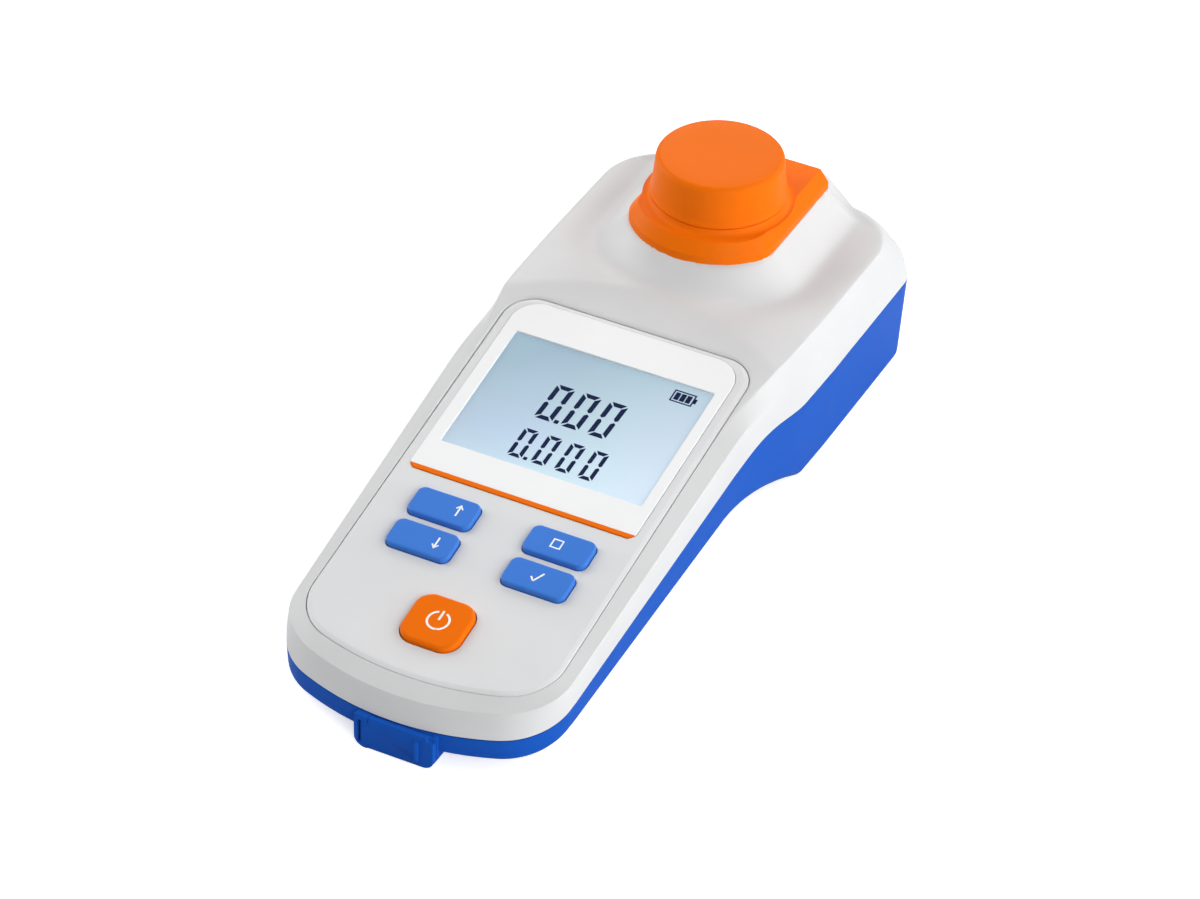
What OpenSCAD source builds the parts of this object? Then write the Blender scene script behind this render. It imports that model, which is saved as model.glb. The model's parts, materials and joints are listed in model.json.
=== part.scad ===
// Portable residual chlorine meter: a two-part hand-held case with a display and five keys in a
// tilted top face, and a round sample well under a lift-off cap at the head.
// +X right, +Y toward the head, +Z up from the table, millimetres.

/* [Case] */
// Flat of the head behind the collar
rear_flat = 14.9; // [12:0.1:20]
// Flat of the head in front of the collar
front_flat = 9.2; // [7:0.1:16]
// Rim of the case beside the face plate
case_rim = 6.5; // [6:0.1:9]
// Wall thickness of both shells
wall = 2.4; // [2:0.1:2.8]
// Height of the parting line under the head
part_z = 27.9; // [26:0.1:30]
// Corner radius at the grip's end
grip_r = 19; // [16:0.5:22]
// Corner radius at the rear
rear_r = 13; // [11:0.5:15]

/* [Top face] */
// Tilt of the face that carries the display and keys
tilt = 11.1; // [10.8:0.1:11.4]
// Height of that face at its origin line
face_z = 39.76; // [39:0.05:40.5]
// Thickness of the face plate
plate_t = 1.2; // [1:0.05:1.5]
// Border of the face plate beside the display panel
plate_rim = 5.1; // [4.5:0.1:7]
// Border of the display panel beside the display
panel_rim = 3.1; // [2.5:0.1:5]
// Visible display width
lcd_w = 60; // [56:0.5:66]
// Visible display height
lcd_h = 44.1; // [38:0.1:50]

/* [Keys] */
// Key width
key_w = 18.8; // [16:0.1:20]
// Key length
key_l = 9.7; // [8:0.1:10.4]
// Key column distance from the middle
key_x = 17.0; // [16:0.1:18]
// Distance between the two rows of keys
key_pitch = 12.1; // [11.5:0.1:14]
// Distance from the lower row to the power key
power_pitch = 23.1; // [20:0.1:26]
// Key travel
key_travel = 0.8; // [0.5:0.1:0.9]
// Clearance round a key
key_gap = 0.3; // [0.2:0.05:0.5]

/* [Sample well] */
// Sample vial diameter
vial_d = 25; // [22:0.5:25.5]
// Clearance between vial and bore, radial
vial_gap = 0.25; // [0.1:0.05:0.4]
// Height of the collar's flat top
collar_z = 60.2; // [59.5:0.1:61]
// Height of the cap above the collar
cap_h = 13.9; // [12:0.1:18]
// Wall of the cap at its foot
cap_wall = 3.4; // [2.8:0.1:4]

/* [Hidden] */
$fn = 48;

off_white = [0.87, 0.87, 0.88];
blue = [0.12, 0.36, 0.78];
orange = [0.96, 0.45, 0.10];
steel = [0.75, 0.76, 0.78];
board_green = [0.10, 0.35, 0.20];
black = [0.08, 0.08, 0.09];

// Small helpers

function mix(a, b, t) = a + (b - a) * t;
function clamp(t) = max(0, min(1, t));
function smooth(t) = let(c = clamp(t)) c * c * (3 - 2 * c);
function arc(cx, cy, r, a0, a1, n) =
    [for (i = [0:n]) let(a = mix(a0, a1, i / n)) [cx + r * cos(a), cy + r * sin(a)]];
// Rectangle with its own half-width at each end and its own corner radius at each end
function slab(w0, w1, s0, s1, r0, r1) = concat(
    arc(w0 - r0, s0 + r0, r0, -90, 0, 8), arc(w1 - r1, s1 - r1, r1, 0, 90, 8),
    arc(r1 - w1, s1 - r1, r1, 90, 180, 8), arc(r0 - w0, s0 + r0, r0, 180, 270, 8));
module plate(outline, n0, n1) { translate([0, 0, n0]) linear_extrude(n1 - n0) polygon(outline); }
module post(x, y, r, z0, z1) { translate([x, y, z0]) cylinder(h = z1 - z0, r = r); }

// Places along the case

// The crease across the top, where the tilted face meets the head, rises this far in its middle
arc_rise = 12.7;
// Sample well radii, outward from the vial
bore_r = vial_d / 2 + vial_gap;
neck_r = bore_r + 2.25;
cap_r = neck_r + 0.4 + cap_wall;
collar_side = cap_r + 3.2;
collar_front = cap_r + 6.7;
collar_back = collar_front;

// Stations on the tilted face, down its slope from the head: plate, panel, display, keys
plate_s1 = 32.7;
panel_s1 = plate_s1 - 1.7;
lcd_s = panel_s1 - 11.9 - lcd_h / 2;
panel_s0 = lcd_s - lcd_h / 2 - 9.9;
row_1 = panel_s0 - 12.3;
row_2 = row_1 - key_pitch;
power_s = row_2 - power_pitch;
plate_s0 = power_s - 17.9;

head_l = rear_flat + collar_back + collar_front + front_flat + arc_rise;
case_l = head_l + plate_s1 + 1 + cos(tilt) * (8.13 - plate_s0) + 1.9;
rear_y = case_l / 2;
foot_y = -case_l / 2;
front_y = foot_y + 1.9;
well_y = rear_y - rear_flat - collar_back;
arc_end_y = rear_y - head_l;
face_y = arc_end_y - plate_s1 - 1;
half_w = lcd_w / 2 + panel_rim + plate_rim + case_rim;
side_slope = 0.022;
front_bow = 82;
rear_bow = 400;

// Everything on the tilted face is drawn flat and moved there
module on_face() { translate([0, face_y, face_z]) rotate([tilt, 0, 0]) children(); }
function face_h(y) = face_z + tan(tilt) * (y - face_y);

// Case outline at the parting line: right half, from the front middle to the rear middle

function half_at(y) = half_w + side_slope * (y - well_y);
front_cx = half_at(front_y + grip_r) - grip_r;
front_cy = front_y + front_bow - sqrt(pow(front_bow - grip_r, 2) - pow(front_cx, 2));
rear_cx = half_at(rear_y - rear_r) - rear_r;
rear_cy = rear_y - rear_bow + sqrt(pow(rear_bow - rear_r, 2) - pow(rear_cx, 2));
front_a = -90 + asin(front_cx / (front_bow - grip_r));
rear_a = 90 - asin(rear_cx / (rear_bow - rear_r));
function fan(cx, cy, r, a0, a1, n, from = 0) =
    [for (i = [from:n]) let(a = mix(a0, a1, i / n)) [cx + r * cos(a), cy + r * sin(a), cos(a), sin(a)]];
function run(y0, y1, n) = [for (i = [1:n]) let(y = mix(y0, y1, i / n)) [half_at(y), y, 1, 0]];
HALF = concat(fan(0, front_y + front_bow, front_bow, -90, front_a, 4),
              fan(front_cx, front_cy, grip_r, front_a, 0, 7, 1),
              run(front_cy, arc_end_y - 24, 8), run(arc_end_y - 24, arc_end_y, 5),
              run(arc_end_y, arc_end_y + 24, 5), run(arc_end_y + 24, rear_cy, 7),
              fan(rear_cx, rear_cy, rear_r, 0, rear_a, 7, 1),
              fan(0, rear_y - rear_bow, rear_bow, rear_a, 90, 4, 1));
n_half = len(HALF);
n_ring = 2 * n_half - 2;

// Heights along the case

// Parting line: slopes along the grip, dips level under the head
function part_at(y) = let(line = part_z - 2 + 0.164 * (y - face_y + 13.4))
    mix(line, part_z, smooth((y - arc_end_y + 19.1) / 32));
// Underside: sloping grip, ramp, level belly
under_slope = 0.1023;
function grip_under(y) = 13.4 + under_slope * (y - face_y + 12.4);
ramp_y0 = arc_end_y - 31.7;
ramp_y1 = arc_end_y + 14.8;
ramp_drop = grip_under(ramp_y1);
function under_at(y) = y >= ramp_y1 ? 0
    : grip_under(y) - ramp_drop * pow(clamp((y - ramp_y0) / (ramp_y1 - ramp_y0)), 1.6);
function arc_y(x) = arc_end_y + arc_rise * (1 - pow(x / 40, 2));
// Collar outline: a circle about the well cut by two straight sides that run to the rear
function collar_gap(x, y) = let(v = y - well_y)
    v < 0 ? max(0, norm([x, v]) - collar_front) : max(0, abs(x) - collar_side);
function dune_w(x, y) = let(v = y - well_y) v < 0 ? mix(9, 17, smooth(abs(x) / (0.001 + norm([x, v])))) : 17;
rim_z = collar_z - 5.6;
function head_h(x, y) = face_h(arc_y(0)) - 2.49 * pow(x / 40, 2) - 0.008 * (y - arc_end_y);
function top_at(x, y) = y < arc_y(x) ? face_h(y)
    : let(h = head_h(x, y), d = collar_gap(x, y))
      h + (rim_z - h) * pow(clamp(1 - d / dune_w(x, y)), 2);

// Shell sections: rings from the parting line up over the shoulder, or down over the belly.
// The grip has a soft rim, the head a steep band with a crisp edge, and the rear leans inward.

function head_share(y) = smooth((y - arc_end_y + 26) / 34);
function shoulder_in(k, s) =
    let(g = [0, 0.5, 1.0, 2.2, 4.2][k], h = [0, 0.9, 1.5, 2.4, 3.0][k], b = [0, 0.6, 1.6, 4.2, 8.0][k],
        f = [0, 0.7, 1.6, 4.2, 7.8][k])
    s[3] < 0 ? mix(g, f, smooth(-s[3])) : mix(mix(g, h, head_share(s[1])), b, smooth(s[3] / 0.5));
function shoulder_drop(k, y) = mix([0, 3.9, 2.6, 1.2, 0][k], [0, 12.2, 7.5, 2.6, 0][k], smooth((y - arc_end_y + 31.1) / 62));
function upper_half(k, t) = [for (s = HALF)
    let(d = shoulder_in(k, s) + (k == 4 ? t * 0.9 : t), x = s[0] - s[2] * d, y = s[1] - s[3] * d,
        c = shoulder_in(4, s), cx = s[0] - s[2] * c, cy = s[1] - s[3] * c,
        rim = top_at(max(0, cx), cy) - (t > 0 && k > 0 ? t + 0.4 : 0))
    [max(0, x), y, k == 0 ? part_at(s[1]) : rim - shoulder_drop(k, s[1]) * (t > 0 ? 0.75 : 1)]];
function belly_r(y) = mix(3.5, 5, smooth((y - ramp_y0) / (ramp_y1 - ramp_y0)));
function lower_half(k, t) = [for (s = HALF)
    let(r = belly_r(s[1]), deep = part_at(s[1]) - under_at(s[1]),
        d1 = (0.05 + 0.035 * smooth(s[3])) * (deep - r),
        d = [0, d1, d1 + 0.293 * r, d1 + r][k] + t,
        x = s[0] - s[2] * d, y = s[1] - s[3] * d,
        z = [part_at(s[1]) - 0.3, under_at(y) + r, under_at(y) + 0.293 * r, under_at(y)][k])
    [max(0, x), y, k == 0 ? z : z + t]];
function ring(h) = concat(h, [for (i = [n_half - 2:-1:1]) [-h[i][0], h[i][1], h[i][2]]]);
function row_bend(y) = arc_rise * (y < arc_end_y ? smooth((y - arc_end_y + 50) / 50)
                                                 : 1 - smooth((y - arc_end_y) / 55));
// Points inside a ring, in rows that join each right-hand point to its mirror image
function field(h, m, bend, upper, t) = [for (i = [1:n_half - 2], k = [1:m - 1])
    let(u = 2 * k / m - 1, x = h[i][0] * u,
        y = h[i][1] + (bend ? row_bend(h[i][1]) * (1 - u * u) * clamp(h[i][0] / 30) : 0))
    [x, y, upper ? top_at(x, y) - t : under_at(y) + t]];

function at(i, k, m, r0, c0) = i == 0 ? r0 : i == n_half - 1 ? r0 + n_half - 1
    : k == m ? r0 + i : k == 0 ? r0 + n_ring - i : c0 + (i - 1) * (m - 1) + k - 1;
function field_faces(m, r0, c0, flip) = [for (i = [0:n_half - 2], k = [0:m - 1])
    let(a = at(i, k, m, r0, c0), b = at(i, k + 1, m, r0, c0),
        c = at(i + 1, k + 1, m, r0, c0), d = at(i + 1, k, m, r0, c0))
    each [if (a != b) flip ? [a, c, b] : [a, b, c], if (c != d) flip ? [a, d, c] : [a, c, d]]];
function band(r0, r1, flip) = [for (i = [0:n_ring - 1])
    let(j = (i + 1) % n_ring, a = r0 + i, b = r0 + j, c = r1 + j, d = r1 + i)
    each (flip ? [[a, b, c], [a, c, d]] : [[a, c, b], [a, d, c]])];

// A shell: outer rings and field, inner rings and field, joined at the parting line
module shell(outer, inner, m, bend, upper, t_in) {
    no = len(outer);
    ni = len(inner);
    rings = [for (h = outer) each ring(h), for (h = inner) each ring(h)];
    out_field = field(outer[no - 1], m, bend, upper, 0);
    in_field = field(inner[ni - 1], m, bend, upper, t_in);
    c0 = (no + ni) * n_ring;
    c1 = c0 + len(out_field);
    polyhedron(points = concat(rings, out_field, in_field), faces = concat(
        [for (k = [0:no - 2]) each band(k * n_ring, (k + 1) * n_ring, !upper)],
        field_faces(m, (no - 1) * n_ring, c0, upper),
        [for (k = [0:ni - 2]) each band((no + k) * n_ring, (no + k + 1) * n_ring, upper)],
        field_faces(m, (no + ni - 1) * n_ring, c1, !upper),
        band(0, no * n_ring, upper)), convexity = 12);
}

// Outlines on the tilted face

function plate_w(s) = half_w - case_rim + 0.028 * s;
function panel_w(s) = half_w - case_rim - plate_rim + 0.033 * (s - panel_s0);
function plate_line(g) = slab(plate_w(plate_s0) + 0.6 + g, plate_w(plate_s1) + g,
                              plate_s0 - g, plate_s1 + g, 15 + g, 8 + g);
function panel_line(g) = slab(panel_w(panel_s0) + g, panel_w(panel_s1) + g,
                              panel_s0 - g, panel_s1 + g, 0.6, 9.5 + g);
function lcd_line(g, r) = [for (p = slab(lcd_w / 2 + g, lcd_w / 2 + g, -lcd_h / 2 - g, lcd_h / 2 + g, r, r))
                           [p[0], p[1] + lcd_s]];
power_w = 16.2;
power_l = 16.5;
function key_line(x, s, w, l, g, r) =
    [for (p = slab(w / 2 + g, w / 2 + g, -l / 2 - g, l / 2 + g, r + g, r + g)) [p[0] + x, p[1] + s]];
KEYS = [[-key_x, row_1, key_w, key_l], [-key_x, row_2, key_w, key_l], [key_x, row_1, key_w, key_l],
        [key_x, row_2, key_w, key_l], [0, power_s, power_w, power_l]];
module each_key(g, n0, n1) { for (k = KEYS) plate(key_line(k[0], k[1], k[2], k[3], g, 2.2), n0, n1); }

// Screw places
CASE_SCREWS = [for (p = [[half_w - 12.7, rear_y - 22.9], [half_w - 9.7, arc_end_y + 6.9],
                         [half_w - 15.2, front_y + 25]], side = [-1, 1]) [side * p[0], p[1]]];
board_n = -8.2;
board_x0 = key_x + key_w / 2 + 4.6;
board_x1 = lcd_w / 2 + 4;
BOARD_SCREWS = [for (p = [[board_x1, panel_s0 + 4.9], [board_x1, panel_s1 - 9], [board_x0, row_2 - 6.7]],
                     side = [-1, 1]) [side * p[0], p[1]]];
// Clearance of a screw in its hole
screw_fit = 0.06;

module upper_case() {
    color(off_white) difference() {
        union() {
            difference() {
                shell([for (k = [0:4]) upper_half(k, 0)], [for (k = [0, 1, 4]) upper_half(k, wall)],
                      12, true, true, wall + 0.5);
                on_face() plate(plate_line(0.25), -plate_t - 0.1, 6);
                on_face() plate(lcd_line(0.9, 1), -6, 1);
                on_face() each_key(key_gap, -6, 1);
                collar_seat(0.15);
            }
            for (p = CASE_SCREWS) post(p[0], p[1], 3.6, part_at(p[1]), top_at(p[0], p[1]) - wall - 0.1);
            on_face() for (p = BOARD_SCREWS) post(p[0], p[1], 2.6, -6.6, -2.6);
        }
        for (p = CASE_SCREWS) post(p[0], p[1], 1.25, part_at(p[1]) - 1, part_at(p[1]) + 9);
        on_face() for (p = BOARD_SCREWS) post(p[0], p[1], 0.95, -7, -3);
    }
}

// Opening in the upper case that takes the collar
module collar_seat(g) {
    linear_extrude(100) intersection() {
        union() {
            translate([0, well_y]) circle(r = collar_front - 0.3 + g, $fn = 64);
            translate([-collar_front, well_y]) square([2 * collar_front, collar_back + g]);
        }
        translate([-collar_side - g + 0.3, 0]) square([2 * (collar_side - 0.3 + g), 200]);
    }
}

module lower_case() {
    color(blue) difference() {
        union() {
            difference() {
                shell([for (k = [0:3]) lower_half(k, 0)], [for (k = [0, 1, 3]) lower_half(k, wall)],
                      6, false, false, wall);
                on_grip() translate([-19, -28, -3]) cube([38, 56, 12]);
                on_grip() translate([-23, -32, -3]) cube([46, 64, 4.3]);
            }
            foot_bar(0, cover_y, cover_y + 15.6);
            for (p = CASE_SCREWS) post(p[0], p[1], 4.2, under_at(p[1]) + 1, part_at(p[1]) - 0.3);
            on_grip() for (p = DOOR_SCREWS) post(p[0], p[1], 2.1, 1.3, 6.3);
        }
        for (p = CASE_SCREWS) {
            post(p[0], p[1], 1.7, -1, 60);
            post(p[0], p[1], 3.1, -1, part_at(p[1]) - 4);
        }
        on_grip() for (p = DOOR_SCREWS) post(p[0], p[1], 0.95, 0, 5);
        port_room();
    }
}

// Battery door frame: lies on the grip's underside
door_y = face_y - 40.9;
module on_grip() { translate([0, door_y, grip_under(door_y)]) rotate([atan(under_slope), 0, 0]) children(); }

DOOR_SCREWS = [[-21, -22], [21, -22], [-21, 22], [21, 22]];

// Foot under the grip's end: carries the port and its cover
foot_x = 1.8;
foot_w = 23.2;
// Its top lies just under the parting line
foot_h = part_at(front_y) - 0.35;
module foot_bar(g, y0, y1) {
    translate([foot_x, y0, 0]) rotate([-90, 0, 0]) translate([0, -foot_h / 2, 0])
        linear_extrude(y1 - y0) polygon(slab(foot_w / 2 - g, foot_w / 2 - g, g - foot_h / 2,
                                             foot_h / 2 - g, 0.6, 3.2 - g));
}
// The cover is the foot's front: it turns about a pin at its left end, held by two round ears
cover_t = 1.5;
cover_y = foot_y + 0.4;
knuckle_r = 1.4;
ear_h = 1.6;
hinge_x = foot_x - foot_w / 2 + 1 + knuckle_r + 0.25;
hinge_y = cover_y + knuckle_r;
socket_z = foot_h / 2;
module cover_room() {
    difference() {
        translate([hinge_x, foot_y - 1, -1]) cube([foot_w, cover_t + 1.7, foot_h + 1]);
        post(hinge_x, hinge_y, knuckle_r, -2, ear_h);
        post(hinge_x, hinge_y, knuckle_r, foot_h - ear_h, foot_h + 2);
    }
}
module port_room() {
    cover_room();
    post(hinge_x, hinge_y, knuckle_r + 0.25, ear_h, foot_h - ear_h);
    translate([hinge_x - knuckle_r - 0.25, foot_y - 1, ear_h])
        cube([knuckle_r + 1, hinge_y - foot_y + 1, foot_h - 2 * ear_h]);
    translate([foot_x - 5, foot_y, socket_z - 2.4]) cube([10, 16, 4.8]);
    translate([foot_x - 7, foot_y + 6.5, socket_z - 2.4]) cube([14, 8.6, 9]);
    post(hinge_x, hinge_y, 0.7, 0.8, foot_h - 0.6);
}

module port_cover() {
    color(blue) difference() {
        union() {
            intersection() {
                foot_bar(0.1, cover_y, cover_y + cover_t);
                union() {
                    translate([hinge_x + knuckle_r + 0.5, foot_y, 0]) cube([foot_w, 4, foot_h]);
                    translate([hinge_x, foot_y, ear_h + 0.3]) cube([foot_w, 4, foot_h - 2 * ear_h - 0.6]);
                }
            }
            post(hinge_x, hinge_y, knuckle_r, ear_h + 0.3, foot_h - ear_h - 0.3);
            translate([foot_x + 6, foot_y, 1.2]) cube([1.4, 1, foot_h - 3.4]);
            translate([foot_x + 6.7, foot_y + 1, foot_h - 2.2]) rotate([90, 0, 0]) cylinder(h = 1, r = 0.7);
            translate([foot_x - 4.7, cover_y + 1, socket_z - 2.1]) cube([9.4, 1.8, 4.2]);
        }
        post(hinge_x, hinge_y, 0.75, 0, foot_h);
        translate([foot_x + foot_w / 2 - 2.1, foot_y - 1, foot_h - 1.5]) cube([5, 2, 5]);
    }
}
module port_hinge_pin() { color(steel) post(hinge_x, hinge_y, 0.7, 0.8, foot_h - 0.6); }
module port_socket() {
    color(steel) difference() {
        translate([foot_x - 4, foot_y + 4.2, socket_z - 1.6]) cube([8, 9, 3.2]);
        translate([foot_x - 3.6, foot_y + 3.2, socket_z - 1.2]) cube([7.2, 8, 2.4]);
    }
}
module port_board() {
    color(board_green) translate([foot_x - 6, foot_y + 7, socket_z + 1.6]) cube([12, 8, 1.2]);
}

module faceplate() {
    color(off_white) on_face() difference() {
        plate(plate_line(0), -plate_t, 0);
        plate(panel_line(0.15), -2, 1);
        strip_shape(0.15, -2, 1);
        each_key(key_gap, -2, 1);
    }
}
module display_panel() {
    color("white") on_face() difference() {
        plate(panel_line(0), -plate_t, 0.5);
        plate(lcd_line(0, 0.8), -2, 1);
        plate(lcd_line(1, 1), -2, -0.3);
    }
}
module display_window() { color([0.8, 0.85, 0.9, 0.4]) on_face() plate(lcd_line(0.9, 0.9), -plate_t, -0.3); }
module strip_shape(g, n0, n1) {
    w = panel_w(panel_s0);
    plate([[-w - g, panel_s0 - 0.1], [w + g, panel_s0 - 0.1], [w - 1.4 + g, panel_s0 - 1.5 - g],
           [-w + 1.4 - g, panel_s0 - 1.5 - g]], n0, n1);
}
module accent_strip() { color(orange) on_face() strip_shape(0, -plate_t, 0.5); }
module lcd() { color([0.68, 0.79, 0.86]) on_face() plate(lcd_line(0.7, 0.8), -3.3, -plate_t - 0.1); }
module lcd_carrier() {
    color("white") on_face() difference() {
        plate(lcd_line(1.2, 1.5), -6.5, -3.4);
        plate(lcd_line(-2, 1.5), -5.4, -3);
    }
}

// Top of the dome switches under the keys
dome_n = -6.15;
module key(i, tone) {
    k = KEYS[i];
    color(tone) on_face() {
        plate(key_line(k[0], k[1], k[2], k[3], 0, 2.2), -3.4, 1.1);
        plate(key_line(k[0], k[1], k[2], k[3], -0.5, 2.2), 1.1, 1.6);
        plate(key_line(k[0], k[1], k[2], k[3], key_gap + 0.3, 2.2), -4.2, -3.4);
        post(k[0], k[1], 2.5, dome_n + key_travel + 0.15, -4.2);
    }
}
module key_up() { key(0, blue); }
module key_down() { key(1, blue); }
module key_stop() { key(2, blue); }
module key_enter() { key(3, blue); }
module key_power() { key(4, orange); }

module keypad_mat() {
    mat_x = key_x + key_w / 2 + 1.4;
    color([0.3, 0.3, 0.33]) difference() {
        on_face() difference() {
            plate(slab(mat_x, mat_x, power_s - 11.6, row_1 + 7.2, 3, 3), -6.6, -6.0);
            for (k = KEYS) post(k[0], k[1], 4.2, -8, -5);
        }
        for (p = CASE_SCREWS) post(p[0], p[1], 4.2, 0, 60);
    }
}
module switch_domes() { color(steel) on_face() for (k = KEYS) post(k[0], k[1], 3.8, -6.6, dome_n); }
module main_board() {
    color(board_green) difference() {
        on_face() difference() {
            plate(slab(board_x0 + 3, board_x1 + 2.5, power_s - 15.6, panel_s1 - 1, 14, 4), board_n, board_n + 1.6);
            for (p = BOARD_SCREWS) post(p[0], p[1], 1.25, -9, -5);
        }
        for (p = CASE_SCREWS) post(p[0], p[1], 4.6, 0, 60);
    }
}
module board_screws() {
    color(steel) on_face() for (p = BOARD_SCREWS) {
        post(p[0], p[1], 2, board_n - 1.4, board_n);
        post(p[0], p[1], 0.95 - screw_fit, board_n, -3.4);
    }
}

// Sample well and its optics

neck_z = collar_z + 2.6;
cap_z = collar_z + cap_h;
module light_shield_cap() {
    foot_z = collar_z + 0.9;
    color(orange) translate([0, well_y, 0]) rotate_extrude($fn = 96) polygon(concat(
        [[neck_r + 0.4, foot_z], [cap_r, foot_z], [cap_r + 0.4, foot_z + 0.3], [cap_r + 0.4, foot_z + 1.1],
         [cap_r - 0.1, foot_z + 1.5]],
        arc(cap_r - 3.1, cap_z - 2.2, 2.2, 4, 90, 6),
        [[0, cap_z], [0, cap_z - 2.4], [neck_r - 0.6, cap_z - 2.4], [neck_r + 0.4, cap_z - 4]]));
}
module cap_seal() {
    color(black) translate([0, well_y, 0]) difference() {
        post(0, 0, cap_r - 0.6, collar_z + 0.2, collar_z + 0.9);
        post(0, 0, neck_r + 0.6, collar_z, collar_z + 2);
    }
}
module collar_solid() {
    intersection() {
        union() {
            translate([0, well_y, 0]) rotate_extrude($fn = 96) polygon(collar_section(collar_front));
            translate([-collar_front, well_y, well_top + 1]) cube([2 * collar_front, collar_back, 10.3]);
        }
        translate([0, well_y + collar_back, 0]) rotate([90, 0, 0]) linear_extrude(80)
            polygon(concat(collar_section(collar_side),
                           [for (i = [5:-1:0]) let(p = collar_section(collar_side)[i]) [-p[0], p[1]]]));
    }
}
function collar_section(r) = [[0, well_top + 0.6], [r - 0.3, well_top + 0.6], [r - 0.3, rim_z - 1], [r - 0.8, collar_z - 1.6],
                              [r - 3.2, collar_z], [0, collar_z]];
module well_collar() {
    color(orange) translate([0, 0, 0]) difference() {
        union() {
            collar_solid();
            post(0, well_y, neck_r, collar_z - 1, neck_z);
        }
        post(0, well_y, bore_r + 0.4, 40, neck_z + 1);
        for (p = WELL_SCREWS) post(p[0], well_y + p[1], 1.0, well_top, well_top + 6.1);
    }
}
screw_x = bore_r + 4.75;
WELL_SCREWS = [[-screw_x, 14], [screw_x, 14], [-screw_x, -9], [screw_x, -9]];
well_floor = 5.2;
well_top = collar_z - 11.3;
lamp_z = 22;
// Where the optics end, either side of the bore
optic_x = bore_r + 5.85;
module cell_well() {
    color(black) translate([0, well_y, 0]) difference() {
        union() {
            post(0, 0, bore_r + 3, wall + 0.1, well_top);
            translate([-screw_x - 3, -bore_r - 3.25, well_top - 2]) cube([2 * screw_x + 6, bore_r + 23.25, 2]);
            translate([-optic_x, 0, lamp_z]) rotate([0, 90, 0]) cylinder(h = 2 * optic_x, r = 5);
        }
        post(0, 0, bore_r, well_floor, 60);
        translate([-30, 0, lamp_z]) rotate([0, 90, 0]) cylinder(h = 60, r = 3);
        for (p = WELL_SCREWS) post(p[0], p[1], 1.3, well_top - 9, well_top + 1);
    }
}
module well_seal() {
    color(black) translate([0, well_y, 0]) difference() {
        post(0, 0, bore_r + 2.6, well_top, well_top + 0.6);
        post(0, 0, bore_r + 0.4, well_top - 1, well_top + 1);
    }
}
module well_screws() {
    color(steel) for (p = WELL_SCREWS) {
        post(p[0], well_y + p[1], 1.9, well_top - 3.4, well_top - 2);
        post(p[0], well_y + p[1], 1.0 - screw_fit, well_top - 2, well_top + 5.1);
    }
}
module lens(x0, x1, r) { translate([x0, well_y, lamp_z]) rotate([0, 90, 0]) cylinder(h = x1 - x0, r = r); }
module well_windows() {
    color([0.8, 0.9, 0.9, 0.5]) {
        lens(-bore_r - 1.6, -bore_r - 0.4, 3);
        lens(bore_r + 0.4, bore_r + 1.6, 3);
    }
}
module led_source() { color([0.9, 0.9, 0.7]) lens(-optic_x, -optic_x + 3.6, 2.5); }
module optic_board(x) { color(board_green) translate([x, well_y - 8, lamp_z - 9]) cube([1.6, 16, 18]); }
module source_board() { optic_board(-optic_x - 1.6); }
module colour_filter() { color([0.2, 0.6, 0.4, 0.6]) lens(optic_x - 3.6, optic_x - 2, 3); }
module photodiode() { color(black) lens(optic_x - 2, optic_x, 2.8); }
module detector_board() { optic_board(optic_x); }

// Power

module battery_door() {
    color(blue) on_grip() difference() {
        union() {
            translate([-22.8, -31.8, 0]) cube([45.6, 63.6, 1.25]);
            translate([-18.8, -27.8, 1.2]) cube([37.6, 55.6, 1.2]);
        }
        for (p = DOOR_SCREWS) {
            post(p[0], p[1], 1.15, -1, 3);
            post(p[0], p[1], 1.5, -1, 0.6);
        }
    }
}
module door_screws() {
    color(steel) on_grip() for (p = DOOR_SCREWS) {
        post(p[0], p[1], 1.4, 0.05, 0.6);
        post(p[0], p[1], 0.95 - screw_fit, 0.6, 4.6);
    }
}
module battery_pack() { color([0.55, 0.56, 0.6]) on_grip() translate([-17, -26, 2.4]) cube([34, 52, 5]); }
module battery_contacts() {
    color([0.8, 0.65, 0.3]) on_grip() for (x = [-8, 0, 8]) translate([x - 1.5, 26, 3.4]) cube([3, 4, 3]);
}

// Case seal and screws

module case_seal() {
    in1 = ring([for (s = HALF) [max(0, s[0] - 1.3 * s[2]), s[1] - 1.3 * s[3], part_at(s[1]) - 0.26]]);
    in2 = ring([for (s = HALF) [max(0, s[0] - 2.1 * s[2]), s[1] - 2.1 * s[3], part_at(s[1]) - 0.26]]);
    up1 = [for (p = in1) p + [0, 0, 0.22]];
    up2 = [for (p = in2) p + [0, 0, 0.22]];
    color(black) polyhedron(points = concat(in1, up1, in2, up2), faces = concat(
        band(0, n_ring, false), band(n_ring, 3 * n_ring, false),
        band(3 * n_ring, 2 * n_ring, false), band(2 * n_ring, 0, false)), convexity = 6);
}
module case_screws() {
    color(steel) for (p = CASE_SCREWS) {
        post(p[0], p[1], 2.8, part_at(p[1]) - 6.2, part_at(p[1]) - 4);
        post(p[0], p[1], 1.25 - screw_fit, part_at(p[1]) - 4, part_at(p[1]) + 7);
    }
}

upper_case();
lower_case();
faceplate();
display_panel();
display_window();
accent_strip();
lcd();
lcd_carrier();
key_up();
key_down();
key_stop();
key_enter();
key_power();
keypad_mat();
switch_domes();
main_board();
board_screws();
light_shield_cap();
cap_seal();
well_collar();
well_seal();
cell_well();
well_windows();
led_source();
source_board();
colour_filter();
photodiode();
detector_board();
well_screws();
battery_pack();
battery_contacts();
battery_door();
door_screws();
port_board();
port_socket();
port_cover();
port_hinge_pin();
case_seal();
case_screws();
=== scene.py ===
# Portable residual chlorine meter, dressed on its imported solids.
# Sizes are in millimetres, heights above the table, +Y toward the sample well.

import json
import math

import bmesh
import bpy
from mathutils import Matrix, Vector


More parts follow.
